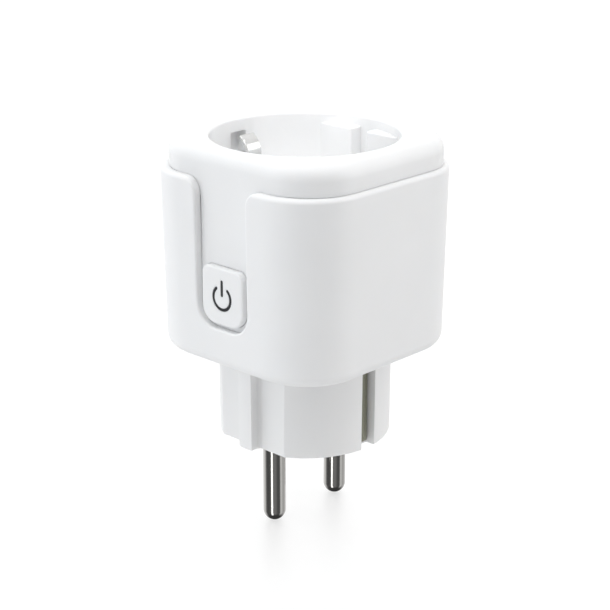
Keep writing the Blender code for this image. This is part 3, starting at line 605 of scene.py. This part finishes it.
def ring_stroke(half, spread_deg):
    """The outline of the symbol's open ring, with round ends."""
    start = 90 + SYMBOL_OPEN_DEG - spread_deg
    end = 450 - SYMBOL_OPEN_DEG + spread_deg
    centre = (0.0, SYMBOL_Z)
    first = arc(centre, SYMBOL_R, start, end, 1)
    outer = arc(centre, SYMBOL_R + half, start, end, 36)
    inner = arc(centre, SYMBOL_R - half, end, start, 36)
    end_cap = arc(first[1], half, end, end + 180, 6)[1:-1]
    start_cap = arc(first[0], half, start + 180, start + 360, 6)[1:-1]
    return outer + end_cap + inner + start_cap


def symbol_tools(half, y_from, y_to, edge=0.0):
    """The ring and the bar of the power symbol as solids."""
    low, high = SYMBOL_BAR
    solids = []
    for name, outline in (
        ("ring", lambda width: ring_stroke(width, 0.0)),
        ("bar", lambda width: rounded_rect((-width, low), (width, high), width * 0.98, 5)),
    ):
        rows = fillet(edge, 2) if edge else [(0.0, 0.0)]
        rings = [at_y(outline(half - inset), y_from + rise) for inset, rise in rows]
        solids.append(loft("symbol_" + name, rings + [at_y(outline(half), y_to)]))
    return solids


def button_rings(rows, start_y):
    """The button's outline grown by each row's first value, at its second value behind start_y."""
    return [at_y(button_outline(grow), start_y + depth) for grow, depth in rows]


def button_face():
    depth = BUTTON_BACK_Y - BUTTON_FACE_Y
    rows = [(-inset, rise) for inset, rise in fillet(BUTTON_EDGE, 6)] + [(0.0, depth)]
    cap = loft("button_face", button_rings(rows, BUTTON_FACE_Y))
    rows = [(STOP_FLANGE, -0.2), (STOP_FLANGE, 0.6)]
    join(cap, loft("button_flange", button_rings(rows, BUTTON_BACK_Y)))
    rows = [(-BUTTON_WALL, BUTTON_WALL), (-BUTTON_WALL, depth + 2 * PAST)]
    cut(cap, loft("button_hollow", button_rings(rows, BUTTON_FACE_Y)))
    half = SYMBOL_HALF + SYMBOL_GAP
    cut(cap, *symbol_tools(half, BUTTON_FACE_Y - PAST, BUTTON_FACE_Y + 2 * PAST))
    return cap


def symbol_insert():
    """The dark insert in the symbol, with the plate behind it and the rod to the switch."""
    back = BUTTON_FACE_Y + PLATE_INSET
    middle = (BUTTON_LOW_Z + BUTTON_HIGH_Z) / 2
    half_x, half_z = PLATE_HALF
    outline = rounded_rect((-half_x, middle - half_z), (half_x, middle + half_z), 0.8, 4)
    insert = loft("symbol_insert", [at_y(outline, back), at_y(outline, back + PLATE_T)])
    inside = back + 0.3
    join(insert, *symbol_tools(SYMBOL_HALF, LIGHT_GUIDE_LOW.y, inside, edge=SYMBOL_EDGE))
    rod = arc((0, middle), ROD_R, 0, 345, 23)
    return join(insert, loft("rod", [at_y(rod, inside), at_y(rod, LIGHT_GUIDE_HIGH.y)]))


def contact_pin(name, side):
    """A turned contact pin with a domed tip."""
    low, high = box_mm(name)
    radius = (high.x - low.x) / 2
    shoulder, neck = PIN_NECK_Z
    tail = PIN_TAIL_R
    profile = [(tail - 0.2, high.z), (tail, high.z - 0.2), (tail, neck), (radius, shoulder)]
    profile += [(radius, 0.6), (radius, 0.0), (radius, -8.0)]
    dome = arc((0, low.z + radius), radius, 0, -88, 16)
    return turned(name + "_turned", profile + dome, (0, side * PIN_Y), 64)


def contact_sleeve(name, side):
    low, high = box_mm(name)
    bore = SLEEVE_BORE_R
    outer = (high.x - low.x) / 2
    profile = [
        (bore, low.z + 1.4),
        (bore, high.z - 0.8),
        (bore + 0.2, high.z - 0.3),
        (bore + 0.4, high.z),
        (outer - 0.2, high.z),
        (outer, high.z - 0.3),
        (outer, low.z + 0.2),
        (outer - 0.2, low.z),
    ]
    y = side * PIN_Y
    sleeve = turned(name + "_sleeve", profile, (0, y))
    slit_low = (-5, y - SLIT_HALF, low.z + SLIT_Z)
    return cut(sleeve, block("slit", slit_low, (5, y + SLIT_HALF, high.z + PAST)))


def smooth_path(bends, steps):
    """A smooth curve through points, as Catmull-Rom."""
    points = []
    last = len(bends) - 1
    for index in range(last):
        before = Vector(bends[max(index - 1, 0)])
        start = Vector(bends[index])
        end = Vector(bends[index + 1])
        after = Vector(bends[min(index + 2, last)])
        for step in range(steps):
            t = step / steps
            squared = (before * 2 - start * 5 + end * 4 - after) * t ** 2
            cubed = (start * 3 - before - end * 3 + after) * t ** 3
            points.append((start * 2 + (end - before) * t + squared + cubed) / 2)
    points.append(Vector(bends[last]))
    return points


def earth_spring(name, side):
    """The bent earth clip: a strip with rounded edges swept along its path."""
    path = smooth_path([(side * x, z) for x, z in CLIP_PATH], 8)
    low, high = box_mm(name)
    half = (high.y - low.y) / 2
    section = rounded_rect((-half, -CLIP_HALF_T), (half, CLIP_HALF_T), CLIP_EDGE, 4)
    rings = []
    for index, point in enumerate(path):
        ahead = path[min(index + 1, len(path) - 1)]
        along = (ahead - path[max(index - 1, 0)]).normalized()
        ring = []
        for across, out in section:
            ring.append((point.x - along.y * out, across, point.y + along.x * out))
        rings.append(ring)
    return loft(name + "_spring", rings)


def earth_contact(name, side):
    """The plug's side contact: a strip with rounded edges on the slot's floor, and its tail."""
    near, far = between(side, STRIP_X, STRIP_X + STRIP_T)
    low, high = (near, -STRIP_HALF, STRIP_Z[0]), (far, STRIP_HALF, STRIP_Z[1])
    edge = STRIP_EDGE
    strip = block(name + "_contact", low, high, corner=0.15, top=edge, bottom=edge, steps=4)
    inset = STRIP_TAIL_INSET
    near, far = between(side, STRIP_X + inset, STRIP_X + STRIP_T - inset)
    low = (near, -STRIP_TAIL_HALF, PLUG_DEPTH - 3)
    high = (far, STRIP_TAIL_HALF, box_mm(name)[1].z)
    return join(strip, block("tail", low, high, corner=0.05, steps=2))


def case_screw(name, number):
    """A pan-head screw, head down, with a tapered cross recess."""
    low, high = box_mm(name)
    x, y = (low.x + high.x) / 2, (low.y + high.y) / 2
    head = low.z
    neck = head + HEAD_T
    point_r, point_length = POINT
    profile = [
        (point_r, high.z),
        (SHANK_R, high.z - point_length),
        (SHANK_R, neck),
        (HEAD_R, neck),
        (HEAD_R, head + 0.45),
        (HEAD_R - 0.08, head + 0.25),
        (HEAD_R - 0.25, head + 0.1),
        (HEAD_R - 0.5, head),
    ]
    body = turned(f"screw_{number}", profile, (x, y), 40)
    for half_x, half_y in (DRIVE_HALF, DRIVE_HALF[::-1]):
        low, high = (x - half_x, y - half_y), (x + half_x, y + half_y)
        wide = rounded_rect(low, high, 0.1, 2)
        deep = rounded_rect(low, high, 0.1, 2, -0.05)
        rings = [at_z(wide, head - PAST), at_z(wide, head), at_z(deep, head + DRIVE_DEPTH)]
        cut(body, loft("drive", rings))
    return body


# ---------------------------------------------------------------- materials

# How fine each texture is, in details per millimetre.
CLOUD = 0.06
SMUDGE = 0.12
SPECK = 6.0
GRAIN = 9.0
TARNISH = 0.45
TRACES = 0.55
PADS = 0.4
TURNS = 1.6

# How deep each relief is, how round the edges shade, and how far light goes under a surface.
GRAIN_DEPTH = 0.002
TURNING_DEPTH = 0.0008
TRACE_DEPTH = 0.03
WIRE_DEPTH = 0.08
MOULD_EDGE = 0.12
METAL_EDGE = 0.08
SCATTER_REACH = 1.0
PLASTIC_IOR = 1.49


def new_material(name):
    mat = bpy.data.materials.new(name)
    mat.use_nodes = True
    return mat, mat.node_tree, mat.node_tree.nodes["Principled BSDF"]


def node(tree, kind, inputs=None, **settings):
    """Adds a shader node; an input may be a value or another node's output."""
    made = tree.nodes.new("ShaderNode" + kind)
    for key, value in settings.items():
        setattr(made, key, value)
    for key, value in (inputs or {}).items():
        feed(tree, made.inputs[key], value)
    return made


def feed(tree, socket, value):
    if isinstance(value, bpy.types.NodeSocket):
        tree.links.new(value, socket)
    else:
        socket.default_value = value


def coords_mm(tree, stretch=(1, 1, 1)):
    """Places on the object in millimetres, squeezed in each direction by stretch."""
    place = node(tree, "TexCoord").outputs["Object"]
    factors = [share / MM for share in stretch]
    return node(tree, "VectorMath", {0: place, 1: factors}, operation="MULTIPLY").outputs[0]


def noise(tree, vector, scale, detail=2.0, rough=0.5, distortion=0.0):
    made = node(tree, "TexNoise", {"Vector": vector, "Scale": scale, "Detail": detail})
    feed(tree, made.inputs["Roughness"], rough)
    feed(tree, made.inputs["Distortion"], distortion)
    return made.outputs["Fac"]


def remap(tree, value, from_low, from_high, to_low, to_high):
    inputs = {0: value, 1: from_low, 2: from_high, 3: to_low, 4: to_high}
    return node(tree, "MapRange", inputs, clamp=True).outputs[0]


def mixed(tree, share, first, second):
    """A colour between two, each a plain colour or another node's output."""
    made = node(tree, "Mix", data_type="RGBA")
    feed(tree, made.inputs[0], share)
    feed(tree, made.inputs[6], first)
    feed(tree, made.inputs[7], second)
    return made.outputs[2]


def math_node(tree, operation, first, second):
    return node(tree, "Math", {0: first, 1: second}, operation=operation).outputs[0]


def times(tree, value, factor):
    return math_node(tree, "MULTIPLY", value, factor)


def plus(tree, first, second):
    return math_node(tree, "ADD", first, second)


def vector_dot(tree, first, second):
    made = node(tree, "VectorMath", {0: first, 1: second}, operation="DOT_PRODUCT")
    return made.outputs["Value"]


def bumped(tree, surface, height, strength, depth, normal=None):
    """Gives a surface a relief of a depth in millimetres, over a rounded normal if one is given."""
    inputs = {"Height": height, "Strength": strength, "Distance": depth * MM}
    if normal:
        inputs["Normal"] = normal
    feed(tree, surface.inputs["Normal"], node(tree, "Bump", inputs).outputs[0])


def edge_wear(tree, radius):
    """How near a convex or concave edge is, from 0 to 1, and the normal rounded over that edge."""
    rounded = node(tree, "Bevel", {"Radius": radius * MM}, samples=4).outputs[0]
    normal = node(tree, "NewGeometry").outputs["Normal"]
    return remap(tree, vector_dot(tree, rounded, normal), 0.75, 0.99, 1.0, 0.0), rounded


def grey(level):
    return (level, level, level, 1.0)


def tint(colour, factor):
    return tuple(min(1.0, channel * factor) for channel in colour) + (1.0,)


def moulded(name, colour, roughness, grain, scatter, spread):
    """Moulded plastic: a faintly cloudy tone, fine grain, handled patches and lighter edges."""
    mat, tree, surface = new_material(name)
    place = coords_mm(tree)
    cloud = noise(tree, place, CLOUD)
    speck = noise(tree, place, SPECK, rough=0.6)
    toned = mixed(tree, cloud, tint(colour, 1 - spread), tint(colour, 1 + spread))
    toned = mixed(tree, remap(tree, speck, 0.4, 0.75, 0.0, 0.12), toned, tint(colour, 0.9))
    wear, rounded = edge_wear(tree, MOULD_EDGE)
    toned = mixed(tree, times(tree, wear, 0.35), toned, tint(colour, 1.06))
    feed(tree, surface.inputs["Base Color"], toned)
    smudge = noise(tree, place, SMUDGE)
    patchy = remap(tree, smudge, 0.2, 0.8, roughness - 0.01, roughness + 0.02)
    patchy = plus(tree, patchy, remap(tree, speck, 0.3, 0.7, -0.02, 0.03))
    patchy = plus(tree, patchy, times(tree, wear, 0.06))
    feed(tree, surface.inputs["Roughness"], patchy)
    fine = noise(tree, place, GRAIN, rough=0.6)
    bumped(tree, surface, times(tree, fine, grain), 0.25, GRAIN_DEPTH, rounded)
    surface.inputs["IOR"].default_value = PLASTIC_IOR
    if scatter:
        surface.inputs["Subsurface Weight"].default_value = scatter
        surface.inputs["Subsurface Radius"].default_value = (1.0, 0.95, 0.9)
        surface.inputs["Subsurface Scale"].default_value = SCATTER_REACH * MM
    return mat


def metal(name, colour, roughness, grain_stretch, rings, tarnish):
    """Plated or rolled metal: drawn grain along one direction, tarnish and brighter edges."""
    mat, tree, surface = new_material(name)
    place = coords_mm(tree)
    drawn = noise(tree, coords_mm(tree, grain_stretch), 1.0, 4.0, 0.7)
    cloud = noise(tree, place, TARNISH, 4.0, 0.6, 0.8)
    wear, rounded = edge_wear(tree, METAL_EDGE)
    stained = remap(tree, cloud, 0.4, 0.75, 0.0, tarnish * 3)
    toned = mixed(tree, stained, tint(colour, 1.0), tint(colour, 0.82))
    toned = mixed(tree, times(tree, drawn, 0.25), toned, tint(colour, 1.12))
    toned = mixed(tree, times(tree, wear, 0.5), toned, tint(colour, 1.2))
    feed(tree, surface.inputs["Base Color"], toned)
    streaks = remap(tree, drawn, 0.3, 0.7, roughness - 0.02, roughness + 0.03)
    rubbed = plus(tree, streaks, remap(tree, cloud, 0.5, 0.8, 0.0, tarnish))
    feed(tree, surface.inputs["Roughness"], rubbed)
    relief = drawn
    if rings:
        inputs = {"Vector": place, "Scale": rings, "Distortion": 0.6}
        turning = node(tree, "TexWave", inputs, bands_direction="Z").outputs["Fac"]
        relief = plus(tree, relief, times(tree, turning, 0.3))
    bumped(tree, surface, relief, 0.1, TURNING_DEPTH, rounded)
    surface.inputs["Metallic"].default_value = 1.0
    surface.inputs["Anisotropic"].default_value = 0.3
    return mat


def painted_shade_below(mat, height, shade):
    """Paints shade into a metal below a height: the plug's side contacts, deep in their slots, get
    a dark olive painted shade, while the socket's clips stay bright.
    """
    tree = mat.node_tree
    base = tree.nodes["Principled BSDF"].inputs["Base Color"]
    clean = base.links[0].from_socket
    level = node(tree, "SeparateXYZ", {0: coords_mm(tree)}).outputs[2]
    shaded_base = node(tree, "Mix", data_type="RGBA", blend_type="MULTIPLY")
    feed(tree, shaded_base.inputs[0], remap(tree, level, height - 1, height + 1, 1.0, 0.0))
    feed(tree, shaded_base.inputs[6], clean)
    feed(tree, shaded_base.inputs[7], (*shade, 1.0))
    feed(tree, base, shaded_base.outputs[2])
    return mat


def circuit_board(name, colour, copper):
    """A printed board: solder mask over traces and a ground mesh, with bare pads."""
    mat, tree, surface = new_material(name)
    place = coords_mm(tree)
    inputs = {"Vector": place, "Scale": TRACES, "Mortar Size": 0.05, "Mortar Smooth": 0.2}
    traces = node(tree, "TexBrick", inputs, offset=0.37).outputs["Fac"]
    spots = node(tree, "TexVoronoi", {"Vector": place, "Scale": PADS}, distance="CHEBYCHEV")
    pad = remap(tree, spots.outputs["Distance"], 0.1, 0.13, 1.0, 0.0)
    mask = mixed(tree, noise(tree, place, 0.3, 3.0), tint(colour, 0.85), tint(colour, 1.15))
    mask = mixed(tree, times(tree, traces, 0.7), mask, tint(colour, 1.9))
    feed(tree, surface.inputs["Base Color"], mixed(tree, pad, mask, (*copper, 1.0)))
    feed(tree, surface.inputs["Metallic"], pad)
    roughness = remap(tree, noise(tree, place, 5.0), 0.3, 0.7, 0.25, 0.42)
    feed(tree, surface.inputs["Roughness"], roughness)
    bumped(tree, surface, traces, 0.4, TRACE_DEPTH)
    return mat


def wound(name, colour, core):
    """Turns of enamelled wire between dark ferrite ends."""
    mat, tree, surface = new_material(name)
    place = coords_mm(tree)
    inputs = {"Vector": place, "Scale": TURNS, "Distortion": 0.4}
    turns = node(tree, "TexWave", inputs, bands_direction="Z").outputs["Fac"]
    grit = noise(tree, place, 4.0, 4.0, 0.7)
    wire = mixed(tree, turns, tint(colour, 0.5), tint(colour, 1.1))
    covered = remap(tree, grit, 0.45, 0.6, 0.3, 0.9)
    feed(tree, surface.inputs["Base Color"], mixed(tree, covered, wire, (*core, 1.0)))
    feed(tree, surface.inputs["Roughness"], remap(tree, grit, 0.3, 0.7, 0.35, 0.7))
    bumped(tree, surface, turns, 0.6, WIRE_DEPTH)
    return mat


SHELL_WHITE = (0.905, 0.908, 0.912)
BLACK = (0.03, 0.03, 0.03)
GOLD = (0.8, 0.62, 0.3)
# Below this height the earth-steel contacts get a dark olive painted shade, for the slots they sit
# deep in.
SHADED_CONTACTS_Z = 30.0

# Plastics: colour, roughness, grain, scatter under the surface and spread of tone.
PLASTICS = {
    "housing_white": (SHELL_WHITE, 0.3, 1.0, 0.3, 0.03),
    "cover_white": (SHELL_WHITE, 0.24, 0.6, 0.3, 0.03),
    "plug_white": ((0.90, 0.90, 0.90), 0.32, 1.4, 0.3, 0.03),
    "button_white": (SHELL_WHITE, 0.3, 0.8, 0.3, 0.03),
    "light_guide_grey": ((0.035, 0.036, 0.04), 0.38, 0.8, 0.0, 0.15),
    "switch_black": (BLACK, 0.4, 2.0, 0.0, 0.2),
    "plunger_black": ((0.05, 0.05, 0.05), 0.35, 1.5, 0.0, 0.2),
    "led_lens": ((0.8, 0.85, 0.9), 0.18, 0.4, 0.3, 0.03),
    "header_black": (BLACK, 0.5, 2.0, 0.0, 0.2),
    "relay_black": ((0.03, 0.03, 0.035), 0.36, 1.6, 0.0, 0.2),
    "film_yellow": ((0.75, 0.5, 0.06), 0.38, 1.2, 0.0, 0.08),
    "can_black": ((0.04, 0.045, 0.06), 0.3, 0.8, 0.0, 0.2),
    "varistor_blue": ((0.03, 0.12, 0.42), 0.35, 3.0, 0.0, 0.12),
    "fuse_green": ((0.12, 0.3, 0.2), 0.55, 4.0, 0.0, 0.12),
    "chip_black": ((0.02, 0.02, 0.022), 0.5, 3.0, 0.0, 0.2),
}
# Metals: colour, roughness, stretch of the grain, turning marks and tarnish.
METALS = {
    "shunt_copper": ((0.72, 0.4, 0.25), 0.34, (0.4, 9.0, 9.0), 0.0, 0.12),
    "shield_tin": ((0.72, 0.72, 0.7), 0.3, (0.4, 6.0, 6.0), 0.0, 0.12),
    "pin_nickel": ((0.60, 0.59, 0.57), 0.11, (9.0, 9.0, 0.25), 1.5, 0.05),
    "contact_brass": ((0.78, 0.58, 0.28), 0.28, (7.0, 7.0, 0.4), 0.0, 0.12),
    "earth_steel": ((0.84, 0.84, 0.83), 0.2, (9.0, 9.0, 0.3), 0.0, 0.06),
    "screw_steel": ((0.5, 0.5, 0.5), 0.33, (2.0, 2.0, 2.0), 0.0, 0.12),
}
MATERIALS = {name: moulded(name, *look) for name, look in PLASTICS.items()}
MATERIALS.update({name: metal(name, *look) for name, look in METALS.items()})
MATERIALS["ferrite"] = wound("ferrite", (0.55, 0.22, 0.08), (0.05, 0.05, 0.052))
MATERIALS["board_green"] = circuit_board("board_green", (0.02, 0.16, 0.07), GOLD)
MATERIALS["power_board_green"] = circuit_board(
    "power_board_green", (0.02, 0.14, 0.06), (0.7, 0.7, 0.68)
)
MATERIALS["radio_board_blue"] = circuit_board("radio_board_blue", (0.02, 0.06, 0.2), GOLD)
# Painted shade: the plug's earth strips, deep in their slots, are darkened to olive below this
# height.
painted_shade_below(MATERIALS["earth_steel"], SHADED_CONTACTS_Z, (0.42, 0.42, 0.34))


SHARP_DEG = 30.0


def dress_cad_nodes():
    """Gives every CAD node that stays in view the finish of its slot in the record."""
    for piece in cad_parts.values():
        for slot in piece.material_slots:
            finish = slot.material.name.split(".")[0]
            slot.material = MATERIALS[finish]


def place(piece, body, node_name, finish):
    """Shades a piece, gives it its finish, and lets it stand for a CAD node on a body."""
    piece.data.materials.clear()
    piece.data.materials.append(MATERIALS[finish])
    piece.data.shade_smooth()
    piece.data.set_sharp_from_angle(angle=math.radians(SHARP_DEG))
    even = piece.modifiers.new("even_shading", "WEIGHTED_NORMAL")
    even.keep_sharp = True
    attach(piece, body)
    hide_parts(node_name)
    return piece


def build_pieces():
    casing = "casing"
    place(housing_shell(), casing, "outer_housing", "housing_white")
    place(cover_shell(), casing, "top_cover", "cover_white")
    place(plug_body(), casing, "plug_base", "plug_white")
    place(button_face(), "button", "button_cap", "button_white")
    place(symbol_insert(), "button", "symbol_light_guide", "light_guide_grey")
    for label, side in (("live", 1), ("neutral", -1)):
        pin, sleeve = label + "_pin", label + "_contact"
        place(contact_pin(pin, side), casing, pin, "pin_nickel")
        place(contact_sleeve(sleeve, side), casing, sleeve, "contact_brass")
    for label, side in (("left", -1), ("right", 1)):
        strip, clip = "earth_strip_" + label, "earth_clip_" + label
        place(earth_contact(strip, side), casing, strip, "earth_steel")
        place(earth_spring(clip, side), clip, clip, "earth_steel")
    for number in range(1, 5):
        screw = f"case_screw_{number}"
        place(case_screw(screw, number), casing, screw, "screw_steel")


# ---------------------------------------------------------------- studio

CAMERA_AZIMUTH = 43.35
CAMERA_ELEVATION = 19.1
CAMERA_DISTANCE = 360.2
CAMERA_AIM = (0.0, 0.0, 27.35)
CAMERA_LENS = 100.83
FLOOR_Z = CAD_SIZE[0][2]

NEUTRAL = (1.0, 1.0, 1.0)
COOL = (0.965, 1.0, 1.035)

# The studio all round: degrees to the right of the camera, level and tint. The panels are what
# reflections see, and the soft light is what lights the surfaces.
PANELS = (
    (-180, 0.4, NEUTRAL), (-119, 0.34, NEUTRAL), (-101, 0.2, NEUTRAL), (-90, 0.05, NEUTRAL),
    (-70, 0.03, NEUTRAL), (-20, 0.05, NEUTRAL), (-6, 0.09, NEUTRAL), (16, 0.085, NEUTRAL),
    (28, 0.045, NEUTRAL), (56, 0.04, NEUTRAL), (68, 0.33, NEUTRAL), (80, 0.28, NEUTRAL),
    (101, 0.19, NEUTRAL), (125, 0.26, NEUTRAL), (180, 0.4, NEUTRAL),
)
SOFT_LIGHT = (
    (-180, 0.2, NEUTRAL), (-135, 0.2, NEUTRAL), (-90, 0.66, COOL), (-45, 0.39, COOL),
    (0, 0.0, COOL), (45, 0.0, NEUTRAL), (90, 0.32, NEUTRAL), (135, 0.2, NEUTRAL),
    (180, 0.2, NEUTRAL),
)
OVERHEAD = 0.33
ZENITH = 0.9
STUDIO_LEVEL = 2.5
TOP_PANEL = 0.4
TABLE_DARK = 0.02
CAMERA_WHITE = 0.4

# How high a direction has to point for each of these to begin and to be full, from -1 to 1.
OVERHEAD_FROM = (0.2, 0.9)
ZENITH_FROM = (0.75, 0.92)
TOP_PANEL_FROM = (0.45, 0.8)
TABLE_DARK_FROM = (-0.85, -0.6)

BODY_AIM_Z = 25.0
PIN_AIM_Z = -8.0
RECESS_LIGHT = 1.4
RECESS_LIGHT_RISE = 50.0
RECESS_LIGHT_DISTANCE = 300.0
RECESS_LIGHT_REACH = 19.0
RECESS_LIGHT_DEPTH = 6.0
RECESS_LIGHT_SIZE = 10.0
FLOOR_GLOW = 0.46
FLOOR_LOOK = 0.66
FLOOR_RADIUS = 1500.0
FLOOR_DROP = 0.02
FLOOR_GREY = 0.2
FLOOR_IOR = 3.0


def toward(azimuth, elevation):
    """A direction by degrees to the right of the button side and degrees up."""
    turn = math.radians(azimuth)
    rise = math.radians(elevation)
    flat = math.cos(rise)
    return Vector((math.sin(turn) * flat, -math.cos(turn) * flat, math.sin(rise)))


def aim_from(thing, aim, look, distance):
    """Puts a camera or a light at a distance from a point along a direction, facing the point."""
    thing.location = (Vector(aim) + look * distance) * MM
    thing.rotation_euler = look.to_track_quat("Z", "Y").to_euler()


def studio_camera():
    data = bpy.data.cameras.new("camera")
    data.lens = CAMERA_LENS
    data.sensor_width = 36.0
    data.clip_start = 0.01
    camera = bpy.data.objects.new("camera", data)
    aim_from(camera, CAMERA_AIM, toward(CAMERA_AZIMUTH, CAMERA_ELEVATION), CAMERA_DISTANCE)
    bpy.context.scene.collection.objects.link(camera)
    bpy.context.scene.camera = camera


def softbox(name, azimuth, elevation, distance, width, height, power, aim):
    """A soft panel light that faces a point on the object, with its sizes in millimetres."""
    data = bpy.data.lights.new(name, "AREA")
    data.shape = "RECTANGLE"
    data.size = width * MM
    data.size_y = height * MM
    data.energy = power
    light = bpy.data.objects.new(name, data)
    aim_from(light, aim, toward(azimuth, elevation), distance)
    light.visible_camera = False
    bpy.context.scene.collection.objects.link(light)
    return light


def recess_light():
    """A narrow beam over the camera that fills the far side of the socket recess."""
    data = bpy.data.lights.new("recess_light", "SPOT")
    data.energy = RECESS_LIGHT
    data.shadow_soft_size = RECESS_LIGHT_SIZE * MM
    data.spot_size = 2 * math.atan(RECESS_LIGHT_REACH / RECESS_LIGHT_DISTANCE)
    data.spot_blend = 0.3
    light = bpy.data.objects.new("recess_light", data)
    aim = toward(CAMERA_AZIMUTH + 180, 0) * RECESS_R
    aim.z = TOP_Z - RECESS_LIGHT_DEPTH
    aim_from(light, aim, toward(CAMERA_AZIMUTH, RECESS_LIGHT_RISE), RECESS_LIGHT_DISTANCE)
    bpy.context.scene.collection.objects.link(light)


def studio_world():
    """White to the camera, soft light for surfaces, and a panelled studio in reflections."""
    world = bpy.data.worlds.new("studio")
    world.use_nodes = True
    tree = world.node_tree
    background = tree.nodes["Background"]
    direction = node(tree, "TexCoord").outputs["Generated"]
    ahead = vector_dot(tree, direction, toward(CAMERA_AZIMUTH, 0))
    aside = vector_dot(tree, direction, toward(CAMERA_AZIMUTH + 90, 0))
    turn = math_node(tree, "ARCTAN2", aside, ahead)
    share = remap(tree, turn, -math.pi, math.pi, 0.0, 1.0)
    panels = node(tree, "ValToRGB", {"Fac": share})
    set_ramp(panels, PANELS)
    soft = node(tree, "ValToRGB", {"Fac": share})
    set_ramp(soft, SOFT_LIGHT)
    height = node(tree, "SeparateXYZ", {0: direction}).outputs[2]
    path = node(tree, "LightPath")
    above = remap(tree, height, *OVERHEAD_FROM, 0.0, 1.0)
    lit = mixed(tree, above, soft.outputs[0], grey(OVERHEAD))
    above = remap(tree, height, *ZENITH_FROM, 0.0, 1.0)
    lit = mixed(tree, above, lit, grey(ZENITH))
    above = remap(tree, height, *TOP_PANEL_FROM, 0.0, 1.0)
    seen = mixed(tree, above, panels.outputs[0], grey(TOP_PANEL))
    below = remap(tree, height, *TABLE_DARK_FROM, 1.0, 0.0)
    seen = mixed(tree, below, seen, grey(TABLE_DARK))
    both = mixed(tree, path.outputs["Is Glossy Ray"], lit, seen)
    final = mixed(tree, path.outputs["Is Camera Ray"], both, grey(CAMERA_WHITE))
    feed(tree, background.inputs["Color"], final)
    background.inputs["Strength"].default_value = STUDIO_LEVEL
    bpy.context.scene.world = world


def set_ramp(ramp, stops):
    """Fills a colour ramp from (degrees, level, tint) stops."""
    elements = ramp.color_ramp.elements
    elements.remove(elements[1])
    for index, (degrees, level, shade) in enumerate(stops):
        position = (degrees + 180) / 360
        element = elements.new(position) if index else elements[0]
        element.color = tuple(level * channel for channel in shade) + (1.0,)


def pin_strip(pieces):
    """A tall strip light that only the bright metal reflects."""
    azimuth = CAMERA_AZIMUTH - 26
    strip = softbox("pin_strip", azimuth, -18, 320, 80, 420, power=0.24, aim=(0, 0, PIN_AIM_Z))
    receivers = bpy.data.collections.new("polished")
    for piece in pieces:
        receivers.objects.link(piece)
    strip.light_linking.receiver_collection = receivers


def studio_floor():
    """A pale, faintly glossy table that glows a little, to stay white. From below it is clear."""
    bm = bmesh.new()
    bmesh.ops.create_circle(bm, cap_ends=True, segments=96, radius=FLOOR_RADIUS)
    floor = link("floor", bm)
    if floor.data.polygons[0].normal.z < 0:
        floor.data.flip_normals()
    floor.location.z = FLOOR_Z - FLOOR_DROP * MM
    mat, tree, surface = new_material("floor_white")
    patches = noise(tree, coords_mm(tree), 0.2)
    feed(tree, surface.inputs["Base Color"], grey(FLOOR_GREY))
    surface.inputs["IOR"].default_value = FLOOR_IOR
    feed(tree, surface.inputs["Roughness"], remap(tree, patches, 0.3, 0.7, 0.42, 0.48))
    surface.inputs["Emission Color"].default_value = grey(1.0)
    to_camera = node(tree, "LightPath").outputs["Is Camera Ray"]
    glow = plus(tree, times(tree, to_camera, FLOOR_LOOK - FLOOR_GLOW), FLOOR_GLOW)
    feed(tree, surface.inputs["Emission Strength"], glow)
    clear = node(tree, "BsdfTransparent").outputs[0]
    below = node(tree, "NewGeometry").outputs["Backfacing"]
    sided = node(tree, "MixShader", {0: below, 1: surface.outputs[0], 2: clear}).outputs[0]
    feed(tree, tree.nodes["Material Output"].inputs["Surface"], sided)
    floor.data.materials.append(mat)
    floor.visible_glossy = False
    floor.visible_shadow = False


dress_cad_nodes()
build_pieces()
studio_camera()
studio_world()
studio_floor()
softbox("right_light", 130, 15, 450, 300, 400, power=0.4, aim=(0, 0, BODY_AIM_Z))
recess_light()
pin_strip([bpy.data.objects[name + "_pin_turned"] for name in ("live", "neutral")])
bpy.context.scene.view_settings.view_transform = "Standard"
